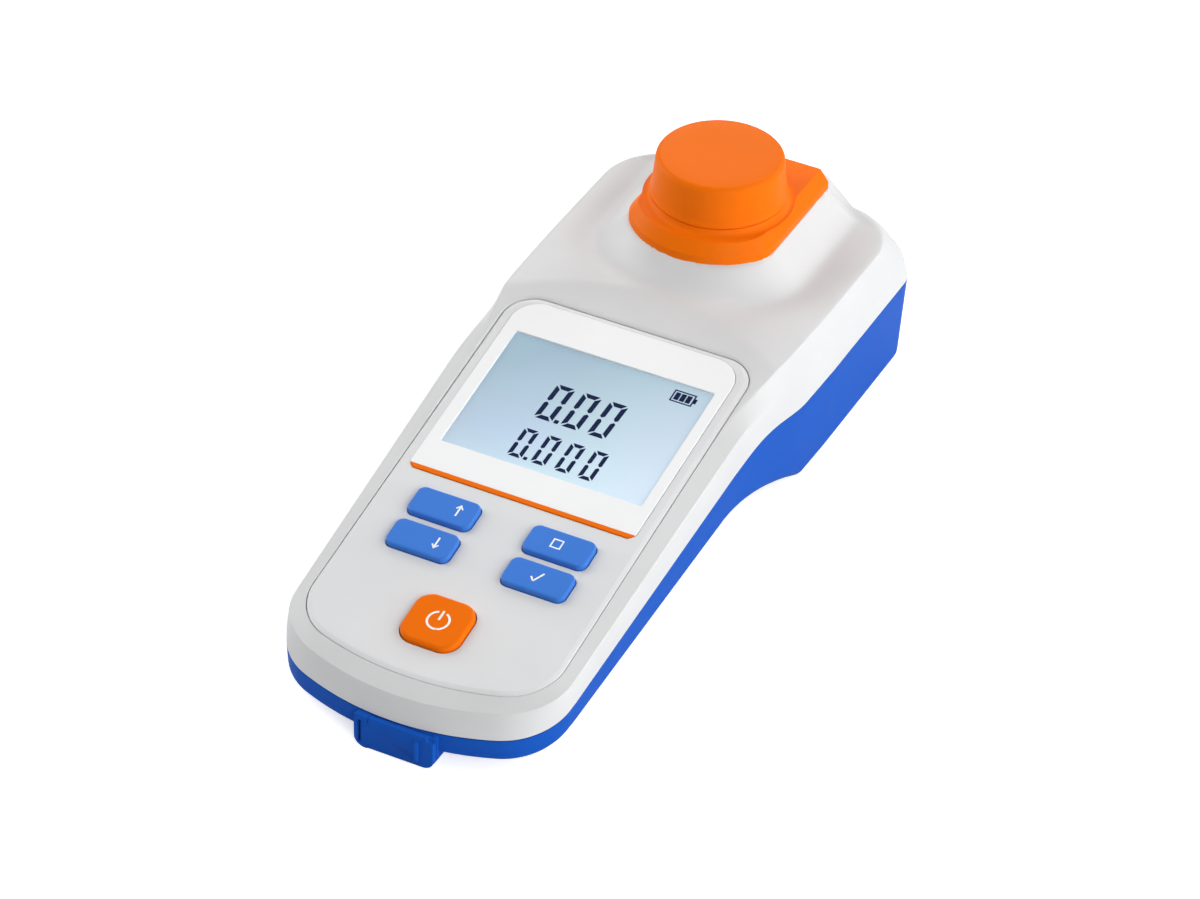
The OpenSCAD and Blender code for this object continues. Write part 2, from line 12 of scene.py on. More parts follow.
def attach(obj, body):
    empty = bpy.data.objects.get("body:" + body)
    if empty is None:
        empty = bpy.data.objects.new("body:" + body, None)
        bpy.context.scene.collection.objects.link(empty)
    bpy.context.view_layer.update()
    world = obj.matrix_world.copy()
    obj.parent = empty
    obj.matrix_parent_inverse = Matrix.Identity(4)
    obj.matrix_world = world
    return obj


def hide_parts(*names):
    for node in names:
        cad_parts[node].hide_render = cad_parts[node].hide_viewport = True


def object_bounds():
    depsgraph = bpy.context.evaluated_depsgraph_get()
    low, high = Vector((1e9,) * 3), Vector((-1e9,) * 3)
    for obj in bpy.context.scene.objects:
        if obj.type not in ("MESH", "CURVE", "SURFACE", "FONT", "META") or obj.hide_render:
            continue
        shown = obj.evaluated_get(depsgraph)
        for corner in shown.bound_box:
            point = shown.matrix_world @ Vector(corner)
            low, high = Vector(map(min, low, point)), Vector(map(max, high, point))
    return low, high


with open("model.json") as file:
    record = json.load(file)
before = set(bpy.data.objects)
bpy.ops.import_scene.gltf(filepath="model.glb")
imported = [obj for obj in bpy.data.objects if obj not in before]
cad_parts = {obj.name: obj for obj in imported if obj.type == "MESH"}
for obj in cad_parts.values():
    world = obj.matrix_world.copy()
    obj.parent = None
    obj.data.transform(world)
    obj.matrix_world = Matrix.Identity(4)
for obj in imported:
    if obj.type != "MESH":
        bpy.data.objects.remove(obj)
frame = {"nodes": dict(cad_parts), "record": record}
solid_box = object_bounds()

# Camera
# The photograph's own viewpoint: a long lens above the grip's end, to the right of the meter,
# found from the display, the keys and the cap's round top.
MM = 0.001
VIEW_AZIMUTH = math.radians(26.117)
VIEW_HEIGHT = math.radians(37.294)
VIEW_ROLL = math.radians(1.55)
VIEW_DISTANCE = 1332.2
VIEW_LENS = 151.24
VIEW_AIM = Vector((11.446, -18.932, 38.846))


def toward(azimuth, height):
    """Direction seen from the meter: azimuth 0 is the grip's end, a quarter turn its right side."""
    return Vector((math.sin(azimuth) * math.cos(height),
                   -math.cos(azimuth) * math.cos(height), math.sin(height)))


def put(name, data):
    """An object with this data, linked into the scene."""
    made = bpy.data.objects.new(name, data)
    bpy.context.scene.collection.objects.link(made)
    return made


back = toward(VIEW_AZIMUTH, VIEW_HEIGHT)
right = Vector((math.cos(VIEW_AZIMUTH), math.sin(VIEW_AZIMUTH), 0))
up = back.cross(right)
rolled_right = right * math.cos(VIEW_ROLL) + up * math.sin(VIEW_ROLL)
rolled_up = up * math.cos(VIEW_ROLL) - right * math.sin(VIEW_ROLL)
camera = put("camera", bpy.data.cameras.new("camera"))
camera.data.lens = VIEW_LENS
camera.data.sensor_width = 36
camera.data.clip_end = 20
turn = Matrix((rolled_right, rolled_up, back)).transposed().to_4x4()
camera.matrix_world = Matrix.Translation((VIEW_AIM + back * VIEW_DISTANCE) * MM) @ turn
bpy.context.scene.camera = camera

# Floor and light
# A plain white table in a soft studio: broad round lamps low and high on both sides and toward the
# rear, nothing from straight above, so that the moulded swellings of the case read.
LAMP_DISTANCE, LAMP_WIDTH = 1.5, 0.9


def lamp(name, azimuth, height, watts):
    """A round soft lamp aimed at the meter, its azimuth and height in degrees."""
    light = bpy.data.lights.new(name, "AREA")
    light.shape = "DISK"
    light.size = LAMP_WIDTH
    light.energy = watts
    stand = put(name, light)
    stand.location = toward(math.radians(azimuth), math.radians(height)) * LAMP_DISTANCE
    stand.rotation_euler = (-stand.location).to_track_quat("-Z", "Y").to_euler()


lamp("lamp_right_low", 90, 15, 10.9)
lamp("lamp_right_high", 90, 40, 4.6)
lamp("lamp_right_rear", 150, 30, 8.7)
lamp("lamp_right_front", 45, 30, 9.7)
lamp("lamp_left_low", -90, 15, 10.1)
lamp("lamp_left_high", -90, 40, 8.9)
lamp("lamp_left_rear", -150, 30, 6.0)


def maths(tree, operation, second=None):
    """A node that works on two numbers, the second one fixed when it is given."""
    made = tree.nodes.new("ShaderNodeMath")
    made.operation = operation
    if second is not None:
        made.inputs[1].default_value = second
    return made


# The studio's walls look white to the camera and through clear parts, grey in a gloss, and
# otherwise give only a little light
SKY_GLOSS, SKY_FILL = 0.5, 0.04
bpy.context.scene.view_settings.view_transform = "Standard"
world = bpy.data.worlds.new("studio")
bpy.context.scene.world = world
world.use_nodes = True
sky = world.node_tree
sky.nodes.clear()
sky_white = sky.nodes.new("ShaderNodeBackground")
sky_white.inputs["Color"].default_value = (1, 1, 1, 1)
sky_path = sky.nodes.new("ShaderNodeLightPath")
sky_seen = maths(sky, "MAXIMUM")
sky_gloss = maths(sky, "MULTIPLY", SKY_GLOSS)
sky_most = maths(sky, "MAXIMUM")
sky_fill = maths(sky, "MAXIMUM", SKY_FILL)
sky_out = sky.nodes.new("ShaderNodeOutputWorld")
sky.links.new(sky_path.outputs["Is Camera Ray"], sky_seen.inputs[0])
sky.links.new(sky_path.outputs["Is Transmission Ray"], sky_seen.inputs[1])
sky.links.new(sky_path.outputs["Is Glossy Ray"], sky_gloss.inputs[0])
sky.links.new(sky_seen.outputs["Value"], sky_most.inputs[0])
sky.links.new(sky_gloss.outputs["Value"], sky_most.inputs[1])
sky.links.new(sky_most.outputs["Value"], sky_fill.inputs[0])
sky.links.new(sky_fill.outputs["Value"], sky_white.inputs["Strength"])
sky.links.new(sky_white.outputs["Background"], sky_out.inputs["Surface"])

# The table's glow is seen by the camera alone, so it brightens the picture and not the meter
TABLE_HALF, TABLE_GLOW = 3, 0.62
floor_mesh = bpy.data.meshes.new("floor")
floor_mesh.from_pydata([(x * TABLE_HALF, y * TABLE_HALF, 0)
                        for x, y in ((-1, -1), (1, -1), (1, 1), (-1, 1))], [], [(0, 1, 2, 3)])
floor = put("floor", floor_mesh)
floor_paint = bpy.data.materials.new("floor_paint")
floor_paint.use_nodes = True
table = floor_paint.node_tree
table.nodes.clear()
table_matt = table.nodes.new("ShaderNodeBsdfDiffuse")
table_matt.inputs["Color"].default_value = (0.80, 0.80, 0.81, 1)
table_glow = table.nodes.new("ShaderNodeEmission")
table_path = table.nodes.new("ShaderNodeLightPath")
table_bright = maths(table, "MULTIPLY", TABLE_GLOW)
table_sum = table.nodes.new("ShaderNodeAddShader")
table_out = table.nodes.new("ShaderNodeOutputMaterial")
table.links.new(table_path.outputs["Is Camera Ray"], table_bright.inputs[0])
table.links.new(table_bright.outputs["Value"], table_glow.inputs["Strength"])
table.links.new(table_matt.outputs["BSDF"], table_sum.inputs[0])
table.links.new(table_glow.outputs["Emission"], table_sum.inputs[1])
table.links.new(table_sum.outputs["Shader"], table_out.inputs["Surface"])
floor_mesh.materials.append(floor_paint)

# Upper case
# The off-white upper shell, moulded in one: a soft rim round the tilted face of the grip, and a
# head with a steep band, a crisp edge and a swelling that rises to the collar of the sample well.
CLOUD_SCALE, GLOSS_SPREAD, GRAIN_DEPTH = 45, 0.04, 0.00005


def plastic(name, colour, roughness, grain=0.06, grain_size=0.35, spread=0.02, shine=0.5):
    """Moulded plastic: fine spark-eroded grain, a faint cloudiness of colour and of gloss."""
    material = bpy.data.materials.new(name)
    material.use_nodes = True
    tree = material.node_tree
    shader = tree.nodes["Principled BSDF"]
    place = tree.nodes.new("ShaderNodeTexCoord")
    cloud = tree.nodes.new("ShaderNodeTexNoise")
    cloud.inputs["Scale"].default_value = CLOUD_SCALE
    cloud.inputs["Detail"].default_value = 3
    tint = tree.nodes.new("ShaderNodeValToRGB")
    tint.color_ramp.elements[0].position = 0.3
    tint.color_ramp.elements[1].position = 0.7
    tint.color_ramp.elements[0].color = (*[c * (1 - spread) for c in colour], 1)
    tint.color_ramp.elements[1].color = (*[min(1, c * (1 + spread)) for c in colour], 1)
    gloss = tree.nodes.new("ShaderNodeMapRange")
    gloss.inputs["To Min"].default_value = roughness - GLOSS_SPREAD
    gloss.inputs["To Max"].default_value = roughness + GLOSS_SPREAD
    grit = tree.nodes.new("ShaderNodeTexNoise")
    grit.inputs["Scale"].default_value = 1000 / grain_size
    grit.inputs["Detail"].default_value = 2
    bump = tree.nodes.new("ShaderNodeBump")
    bump.inputs["Strength"].default_value = grain
    bump.inputs["Distance"].default_value = GRAIN_DEPTH
    tree.links.new(place.outputs["Object"], cloud.inputs["Vector"])
    tree.links.new(place.outputs["Object"], grit.inputs["Vector"])
    tree.links.new(cloud.outputs["Fac"], tint.inputs["Fac"])
    tree.links.new(cloud.outputs["Fac"], gloss.inputs["Value"])
    tree.links.new(tint.outputs["Color"], shader.inputs["Base Color"])
    tree.links.new(gloss.outputs["Result"], shader.inputs["Roughness"])
    tree.links.new(grit.outputs["Fac"], bump.inputs["Height"])
    tree.links.new(bump.outputs["Normal"], shader.inputs["Normal"])
    shader.inputs["Specular IOR Level"].default_value = shine
    return material


def mix(a, b, t):
    """The value a share t of the way from a to b."""
    return a + (b - a) * t


def smooth(t):
    """A soft step from 0 to 1 as t goes from 0 to 1."""
    t = max(0.0, min(1.0, t))
    return t * t * (3 - 2 * t)


def apply(piece, modifier):
    """Gives the piece the mesh that its modifier makes, and takes the modifier off."""
    bpy.context.view_layer.update()
    seen = piece.evaluated_get(bpy.context.evaluated_depsgraph_get())
    done = bpy.data.meshes.new_from_object(seen)
    piece.modifiers.remove(modifier)
    piece.data = done


SHARP, CRISP = 35.0, 30.0


def shade(mesh, sharp=SHARP):
    """Smooth shading, broken at edges that turn by more than sharp degrees."""
    mesh.shade_smooth()
    mesh.set_sharp_from_angle(angle=math.radians(sharp))


def even(piece, sharp=SHARP):
    """Smooth shading in which the larger faces keep their own direction."""
    shade(piece.data, sharp)
    modifier = piece.modifiers.new("even", "WEIGHTED_NORMAL")
    modifier.keep_sharp = True
    modifier.weight = 90
    apply(piece, modifier)


def skin(name, points, faces, weld=False):
    """A mesh from points in millimetres, its faces turned outward, doubled points welded."""
    mesh = bpy.data.meshes.new(name)
    mesh.from_pydata([(x * MM, y * MM, z * MM) for x, y, z in points], [], faces)
    if weld:
        mesh.validate()
    work = bmesh.new()
    work.from_mesh(mesh)
    if weld:
        bmesh.ops.remove_doubles(work, verts=work.verts, dist=1e-7)
    bmesh.ops.recalc_face_normals(work, faces=work.faces)
    work.to_mesh(mesh)
    work.free()
    return mesh


def add_piece(name, points, faces, material, body, sharp=SHARP):
    """A closed piece of the meter from its points and faces."""
    mesh = skin(name, points, faces, True)
    shade(mesh, sharp)
    mesh.materials.append(material)
    piece = put(name, mesh)
    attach(piece, body)
    return piece


# The meter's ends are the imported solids' own; the well's axis and a point in the middle of the
# tilted face lie at fixed distances from the rear end
box_low, box_high = solid_box
REAR_Y, FOOT_Y = box_high[1] / MM, box_low[1] / MM
FRONT_Y = FOOT_Y + 1.9
WELL_Y = REAR_Y - 40.4
FACE_Y, FACE_Z, TILT = REAR_Y - 121.5, 39.76, math.radians(11.1)

# Outline: half width at the well and its limit, slope of the sides, swelling of the head from
# SWELL_Y over SWELL_RUN, corner radii and bows of the two ends
HALF_W, HALF_MOST, SIDE_SLOPE = 44.3, 45.2, 0.022
SWELL, SWELL_Y, SWELL_RUN = 1.3, -4.0, 44.0
GRIP_R, REAR_R, FRONT_BOW, REAR_BOW = 19.0, 10.0, 82.0, 400.0
PART_Z, PART_SLOPE = 27.9, 0.164

# The arc that bounds the head in front, and the collar's outline with the centre of its corners
ARC_END_Y, ARC_RISE, ARC_HALF = FACE_Y + 33.7, 12.7, 40.0
COLLAR_Z, COLLAR_SIDE, COLLAR_FRONT, COLLAR_R = 60.2, 22.0, 25.5, 11.0
COLLAR_CORNER = (COLLAR_SIDE - COLLAR_R,
                 -math.sqrt((COLLAR_FRONT - COLLAR_R) ** 2 - (COLLAR_SIDE - COLLAR_R) ** 2))

# Top of the head: its sag to the sides and fall to the rear, the rise to the collar's rim over a
# run in front and beside, the hollow beside it, and half the width of the crease along the arc
CROWN_SAG, CROWN_FALL = 2.49, 0.008
RIM_Z, RISE_FRONT, RISE_SIDE = COLLAR_Z - 5.6, 9.0, 10.5
HOLLOW_DEPTH, HOLLOW_GAP, HOLLOW_HALF = 0.8, 9.5, 8.5
CREASE = 1.5


def half_at(y):
    """Half the case's width at the parting line."""
    swell = SWELL * smooth((y - SWELL_Y) / SWELL_RUN)
    return min(HALF_MOST, HALF_W + SIDE_SLOPE * (y - WELL_Y) + swell)


def case_outline():
    """Right half of the case outline at the parting line: place and outward direction."""
    fx = half_at(FRONT_Y + GRIP_R) - GRIP_R
    fy = FRONT_Y + FRONT_BOW - math.sqrt((FRONT_BOW - GRIP_R) ** 2 - fx ** 2)
    rx = half_at(REAR_Y - REAR_R) - REAR_R
    ry = REAR_Y - REAR_BOW + math.sqrt((REAR_BOW - REAR_R) ** 2 - rx ** 2)
    front_a = -90 + math.degrees(math.asin(fx / (FRONT_BOW - GRIP_R)))
    rear_a = 90 - math.degrees(math.asin(rx / (REAR_BOW - REAR_R)))
    out = []

    def fan(cx, cy, r, a0, a1, n, start):
        for i in range(start, n + 1):
            a = math.radians(mix(a0, a1, i / n))
            out.append((cx + r * math.cos(a), cy + r * math.sin(a), math.cos(a), math.sin(a)))

    end_steps, corner_steps, side_steps = 20, 28, 140
    fan(0, FRONT_Y + FRONT_BOW, FRONT_BOW, -90, front_a, end_steps, 0)
    fan(fx, fy, GRIP_R, front_a, 0, corner_steps, 1)
    for i in range(1, side_steps + 1):
        y = mix(fy, ry, i / side_steps)
        out.append((half_at(y), y, 1.0, 0.0))
    fan(rx, ry, REAR_R, 0, rear_a, corner_steps, 1)
    fan(0, REAR_Y - REAR_BOW, REAR_BOW, rear_a, 90, end_steps, 1)
    return out


def face_h(y):
    """Height of the tilted face."""
    return FACE_Z + math.tan(TILT) * (y - FACE_Y)


def part_at(y):
    """Height of the parting line, which climbs along the grip and runs level along the head."""
    return mix(PART_Z - 2 + PART_SLOPE * (y + 20), PART_Z, smooth((y - 8) / 32))


def arc_y(x):
    """Where the head begins: an arc that bows toward the well in the middle."""
    return ARC_END_Y + ARC_RISE * (1 - (x / ARC_HALF) ** 2)


def collar_gap(x, v):
    """Distance from the collar's outline, v counted from the well's axis toward the rear.

    Behind the collar it grows with v too, so that the rise narrows toward the rear edge.
    """
    x = abs(x)
    if v >= COLLAR_CORNER[1]:
        return max(0.0, x - COLLAR_SIDE + max(0.0, v - COLLAR_FRONT))
    if COLLAR_CORNER[0] * v - COLLAR_CORNER[1] * x > 0:
        return max(0.0, math.hypot(x - COLLAR_CORNER[0], v - COLLAR_CORNER[1]) - COLLAR_R)
    return max(0.0, math.hypot(x, v) - COLLAR_FRONT)


def top_at(x, y):
    """Height of the top: the tilted face, the head behind the arc, the rise to the collar."""
    crown = face_h(arc_y(0)) - CROWN_SAG * (x / ARC_HALF) ** 2 - CROWN_FALL * (y - ARC_END_Y)
    v = y - WELL_Y
    gap = collar_gap(x, v)
    beside = 1.0 if v > 0 else smooth(abs(x) / (math.hypot(x, v) + 0.001))
    crown += (RIM_Z - crown) * max(0.0, 1 - gap / mix(RISE_FRONT, RISE_SIDE, beside)) ** 2
    hollow = HOLLOW_DEPTH * beside * smooth(1 - abs(gap - HOLLOW_GAP) / HOLLOW_HALF)
    crown -= hollow * (1 - 0.5 * smooth((v - 28) / 12))
    face = face_h(y)
    away = (y - arc_y(x)) / CREASE
    if away < -1:
        return face
    if away > 1:
        return crown
    return mix(face, crown, smooth((away + 1) / 2))


# Shoulder profiles, from the parting line up to the rim: inset from the outline and drop below the
# top, at the grip's side, the head's side, the rear and the front
SHOULDER_GRIP = [(0.0, 4.4), (0.0, 2.6), (0.08, 2.0), (0.45, 1.52), (1.8, 1.13), (3.2, 0.76),
                 (4.6, 0.38), (5.3, 0.19), (5.8, 0.06), (6.2, 0.0)]
SHOULDER_HEAD = [(0.5, 13.6), (0.8, 12.6), (0.95, 11.9), (1.08, 11.0), (1.5, 8.2), (1.95, 5.4),
                 (2.4, 2.6), (2.62, 1.1), (2.85, 0.35), (3.6, 0.0)]
SHOULDER_REAR = [(0.5, 12.0), (0.8, 10.0), (1.3, 8.3), (2.1, 6.3), (3.2, 4.2),
                 (4.6, 2.4), (5.9, 1.1), (6.9, 0.45), (7.8, 0.1), (8.4, 0.0)]
SHOULDER_FRONT = [(0.2, 8.9), (1.2, 5.5), (1.8, 3.4), (2.15, 2.72), (3.5, 2.05), (4.8, 1.42),
                  (6.2, 0.76), (7.0, 0.38), (7.6, 0.12), (8.1, 0.0)]


def shoulder(k, s):
    """Inset and drop of ring k of the shoulder at station s, and its shift from the rear."""
    _, y, _, rearward = s
    grip, head = SHOULDER_GRIP[k], SHOULDER_HEAD[k]
    rear, front = SHOULDER_REAR[k], SHOULDER_FRONT[k]
    if rearward < 0:
        share = smooth(-rearward)
        return mix(grip[0], front[0], share), mix(grip[1], front[1], share), 0.0
    inset = mix(grip[0], head[0], smooth((y - ARC_END_Y + 30) / 34))
    drop = mix(grip[1], head[1], smooth((y + 4) / 62))
    back = (rear[0] - head[0]) * smooth((y - REAR_Y + REAR_R + 30) / 30)
    return inset, mix(drop, rear[1], smooth(rearward / 0.8)), back


# How much rounder each ring's rear corners are than the outline's
CORNER_GROWTH = [2, 4, 6, 8, 9, 10, 10, 10, 10, 10]


def placed(k, s, thick=0.0):
    """Place of ring k at outline station s, moved inward by thick, and its drop."""
    edge_x, edge_y, sideward, rearward = s
    inset, drop, back = shoulder(k, s)
    grow = CORNER_GROWTH[k] if rearward >= 0 else 0
    x = edge_x - sideward * (inset + thick) - grow * (1 - sideward) * min(1.0, edge_x / 34)
    y = edge_y - rearward * (inset + thick) - back
    y -= grow * (1 - rearward) * smooth((edge_y - REAR_Y + REAR_R + 44) / 44)
    return max(0.0, x), y, drop


def ring(half):
    """The whole ring from its right half."""
    return half + [(-x, y, z) for x, y, z in reversed(half[1:-1])]


def row_bend(y):
    """How far the rows of a field bow toward the well, so that they follow the arc."""
    return ARC_RISE * (smooth((y - ARC_END_Y + 50) / 50) if y < ARC_END_Y
                       else 1 - smooth((y - ARC_END_Y) / 55))


def loft(halves, columns, bend, height):
    """Rings joined into a skin, closed by a field of rows between the last ring's two sides."""
    points, faces = [], []
    n = len(halves[0])
    count = 2 * n - 2
    for half in halves:
        points += ring(half)
    for k in range(len(halves) - 1):
        for i in range(count):
            j = (i + 1) % count
            faces.append((k * count + i, k * count + j, (k + 1) * count + j, (k + 1) * count + i))
    last, start = (len(halves) - 1) * count, len(points)
    edge = halves[-1]
    for i in range(1, n - 1):
        for k in range(1, columns):
            u = 2 * k / columns - 1
            x = edge[i][0] * u
            y = edge[i][1]
            if bend:
                y += row_bend(edge[i][1]) * (1 - u * u) * min(1.0, edge[i][0] / 30)
            points.append((x, y, height(x, y)))

    def at(i, k):
        if i in (0, n - 1) or k == columns:
            return last + i
        return last + count - i if k == 0 else start + (i - 1) * (columns - 1) + k - 1

    for i in range(n - 1):
        for k in range(columns):
            corners = (at(i, k), at(i, k + 1), at(i + 1, k + 1), at(i + 1, k))
            faces.append(tuple(dict.fromkeys(corners)))
    return points, faces


def cut(piece, cutter_points, cutter_faces, operation="DIFFERENCE"):
    """Cuts a solid out of a piece, or joins it on, and keeps the smooth shading."""
    cutter = put("cutter", skin("cutter", cutter_points, cutter_faces))
    modifier = piece.modifiers.new("cut", "BOOLEAN")
    modifier.operation = operation
    modifier.solver = "EXACT"
    modifier.object = cutter
    apply(piece, modifier)
    bpy.data.objects.remove(cutter)
    shade(piece.data)


def on_face(points):
    """Points drawn flat on the tilted face, x across, s along, n up from it, moved into place."""
    c, d = math.cos(TILT), math.sin(TILT)
    return [(x, FACE_Y + s * c - n * d, FACE_Z + s * d + n * c) for x, s, n in points]


def prism(outline, low, high):
    """An upright solid from its outline and its two heights."""
    n = len(outline)
    points = [(x, y, low) for x, y in outline] + [(x, y, high) for x, y in outline]
    faces = [tuple(range(n)), tuple(range(n, 2 * n))]
    faces += [(i, (i + 1) % n, n + (i + 1) % n, n + i) for i in range(n)]
    return points, faces


def arc(cx, cy, r, a0, a1, n):
    """Points along a circle from angle a0 to a1, in n steps."""
    angles = [math.radians(mix(a0, a1, i / n)) for i in range(n + 1)]
    return [(cx + r * math.cos(a), cy + r * math.sin(a)) for a in angles]


def slab(w0, w1, s0, s1, r0, r1, n=12):
    """Rounded outline: half width w0 and corners r0 at its end s0, w1 and r1 at its end s1."""
    return (arc(w0 - r0, s0 + r0, r0, -90, 0, n) + arc(w1 - r1, s1 - r1, r1, 0, 90, n)
            + arc(r1 - w1, s1 - r1, r1, 90, 180, n) + arc(r0 - w0, s0 + r0, r0, 180, 270, n))


PLATE_S0, PLATE_S1, PLATE_HALF, PLATE_BOW = -100.7, 32.7, 36.75, 90.0
PANEL_S0, PANEL_S1, PANEL_HALF, PANEL_SHIFT = -34.9, 31.0, 33.5, 0.3


def plate_line(g):
    """Outline of the face plate: straight sides, a bowed front edge, rounded corners."""
    half, bow, r0, r1 = PLATE_HALF + g, PLATE_BOW + g, 15.4 + g, 9.0 + g
    cx = half - r0
    cy = PLATE_S0 + PLATE_BOW - math.sqrt((bow - r0) ** 2 - cx ** 2)
    turn_a = -90 + math.degrees(math.asin(cx / (bow - r0)))
    right = arc(0, PLATE_S0 + PLATE_BOW, bow, -90, turn_a, 8) + arc(cx, cy, r0, turn_a, 0, 14)[1:]
    right += arc(half - r1, PLATE_S1 + g - r1, r1, 0, 90, 14)
    return right + [(-x, y) for x, y in reversed(right[1:])]


def panel_line(g):
    """Outline of the display panel: square lower corners, broad upper ones."""
    line = slab(PANEL_HALF + g, PANEL_HALF + g, PANEL_S0 - g, PANEL_S1 + g, 0.6, 8 + g)
    return [(x - PANEL_SHIFT, s) for x, s in line]


def tapered(line, profile):
    """A solid whose outline is offset by g at each height n of its profile."""
    n = len(line(0))
    points, faces = [], []
    for row, (g, height) in enumerate(profile):
        points += [(x, y, height) for x, y in line(g)]
        if row:
            low = (row - 1) * n
            faces += [(low + i, low + (i + 1) % n, low + n + (i + 1) % n, low + n + i)
                      for i in range(n)]
    return points, faces + [tuple(range(n)), tuple(range(len(points) - n, len(points)))]


def circle(cx, cy, r, n=64):
    return arc(cx, cy, r, 0, 360 - 360 / n, n - 1)


def shell(outer, inner, bend, height, inner_height):
    """A closed case half: an outer and an inner skin joined along the parting line."""
    points, faces = loft(outer, 72, bend, height)
    inner_points, inner_faces = loft(inner, 24, bend, inner_height)
    n, count = len(points), 2 * len(outer[0]) - 2
    faces += [tuple(n + i for i in face) for face in inner_faces]
    faces += [(i, (i + 1) % count, n + (i + 1) % count, n + i) for i in range(count)]
    return points + inner_points, faces


def joined(*solids):
    """Several solids as one list of points and one of faces."""
    points, faces = [], []
    for more_points, more_faces in solids:
        faces += [tuple(len(points) + i for i in face) for face in more_faces]
        points += more_points
    return points, faces


KEY_X, KEY_W, KEY_L, KEY_R = 17.0, 18.5, 9.4, 2.2
ROW_1, ROW_2, POWER_S = -46.85, -58.95, -82.35
LCD_W, LCD_H, LCD_S = 60.0, 44.1, -2.95
KEYS = {"key_up": (-KEY_X, ROW_1, KEY_W, KEY_L, KEY_R),
        "key_down": (-KEY_X, ROW_2, KEY_W, KEY_L, KEY_R),
        "key_stop": (KEY_X, ROW_1, KEY_W, KEY_L, KEY_R),
        "key_enter": (KEY_X, ROW_2, KEY_W, KEY_L, KEY_R),
        "key_power": (0, POWER_S, 17.1, 16.6, 4.8)}


def key_line(name, g):
    """Outline of a key, offset by g."""
    x, s, width, length, r = KEYS[name]
    line = slab(width / 2 + g, width / 2 + g, -length / 2 - g, length / 2 + g, r + g, r + g)
    return [(px + x, ps + s) for px, ps in line]


def lcd_line(g, r):
    """Outline of the display's opening, offset by g, with corner radius r."""
    line = slab(LCD_W / 2 + g, LCD_W / 2 + g, -LCD_H / 2 - g, LCD_H / 2 + g, r, r, 6)
    return [(x, s + LCD_S) for x, s in line]


WALL, WELL_HOLE_R = 2.4, 15.2
stations = case_outline()


def edge_ring(inset, lift):
    """Half ring along the parting line, moved inward by inset and up by lift."""
    return [(max(0.0, x - inset * sideward), y - inset * rearward, part_at(y) + lift)
            for x, y, sideward, rearward in stations]


def upper_ring(k, thick):
    """Half ring k of the shoulder, moved inward by thick and hung from the top."""
    half = []
    for s in stations:
        x, y, drop = placed(k, s, thick)
        rim = top_at(*placed(len(SHOULDER_GRIP) - 1, s)[:2])
        half.append((x, y, max(part_at(s[1]) + 0.3, rim - drop - thick)))
    return half


shoulder_rings = [edge_ring(0.15, 0), edge_ring(0, 0.15)]
shoulder_rings += [upper_ring(k, 0) for k in range(len(SHOULDER_GRIP))]
inner_rings = [edge_ring(WALL, 0)] + [upper_ring(k, WALL) for k in (2, 5, 8)]
case_white = plastic("case_white", (0.622, 0.626, 0.630), 0.45, grain=0.10, shine=0.3)
points, faces = shell(shoulder_rings, inner_rings, True, top_at,
                      lambda x, y: top_at(x, y) - WALL - 0.5)
upper = add_piece("upper_shell", points, faces, case_white, "case")
KEY_GAP = 0.3
pocket_edge = [(0.25, -1.3), (0.25, -0.42), (0.4, -0.24), (0.7, -0.08), (1.3, 0.08), (1.3, 8)]
points, faces = tapered(plate_line, pocket_edge)
cut(upper, on_face(points), faces)
points, faces = joined(prism(lcd_line(0.9, 1), -9, 4),
                       *[prism(key_line(k, KEY_GAP), -9, 4) for k in KEYS])
cut(upper, on_face(points), faces)
points, faces = prism(circle(0, WELL_Y, WELL_HOLE_R), 30, 80)
cut(upper, points, faces)
even(upper, CRISP)
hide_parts("upper_case")

# Lower case
# The royal blue lower shell, moulded in one: shallow under the grip, a ramp down to the deep belly
# under the head, drafted walls with a rounded foot, wells for the case screws, a recess for the
# battery door and the foot block under the grip's end.
RAMP_Y0, RAMP_Y1 = ARC_END_Y - 31.7, ARC_END_Y + 14.8
GRIP_UNDER_Z, GRIP_RISE = 13.4, 0.1023
FILLET_GRIP, FILLET_FRONT, FILLET_BELLY = 3.2, 1.7, 3.8


def grip_under(y):
    """Height of the grip's flat underside, which rises toward the well."""
    return GRIP_UNDER_Z + GRIP_RISE * (y + 19)


def under_at(x, y):
    """Height of the whole underside: the grip, the ramp and the belly on the table."""
    if y >= RAMP_Y1:
        return 0.0
    along = max(0.0, (y - RAMP_Y0) / (RAMP_Y1 - RAMP_Y0))
    return grip_under(y) - grip_under(RAMP_Y1) * along ** 1.6


def belly_ring(inset, lift, thick=0.0):
    """Ring of the lower shell: inset and height as shares of its fillet, drafted walls above."""
    half = []
    for edge_x, edge_y, sideward, rearward in stations:
        if rearward < 0:
            r = mix(FILLET_GRIP, FILLET_FRONT, smooth(-rearward))
        else:
            r = mix(FILLET_GRIP, FILLET_BELLY, smooth((edge_y - RAMP_Y0) / 46))
        deep = part_at(edge_y) - under_at(0, edge_y)
        draft = (0.05 + 0.035 * smooth(rearward)) * (deep - r)
        d = draft + inset * r + thick
        x, y = max(0.0, edge_x - sideward * d), edge_y - rearward * d
        half.append((x, y, under_at(0, y) + lift * r + thick))
    return half


def cylinder(x, y, r, z0, z1):
    """An upright cylinder."""
    return prism(circle(x, y, r, 40), z0, z1)


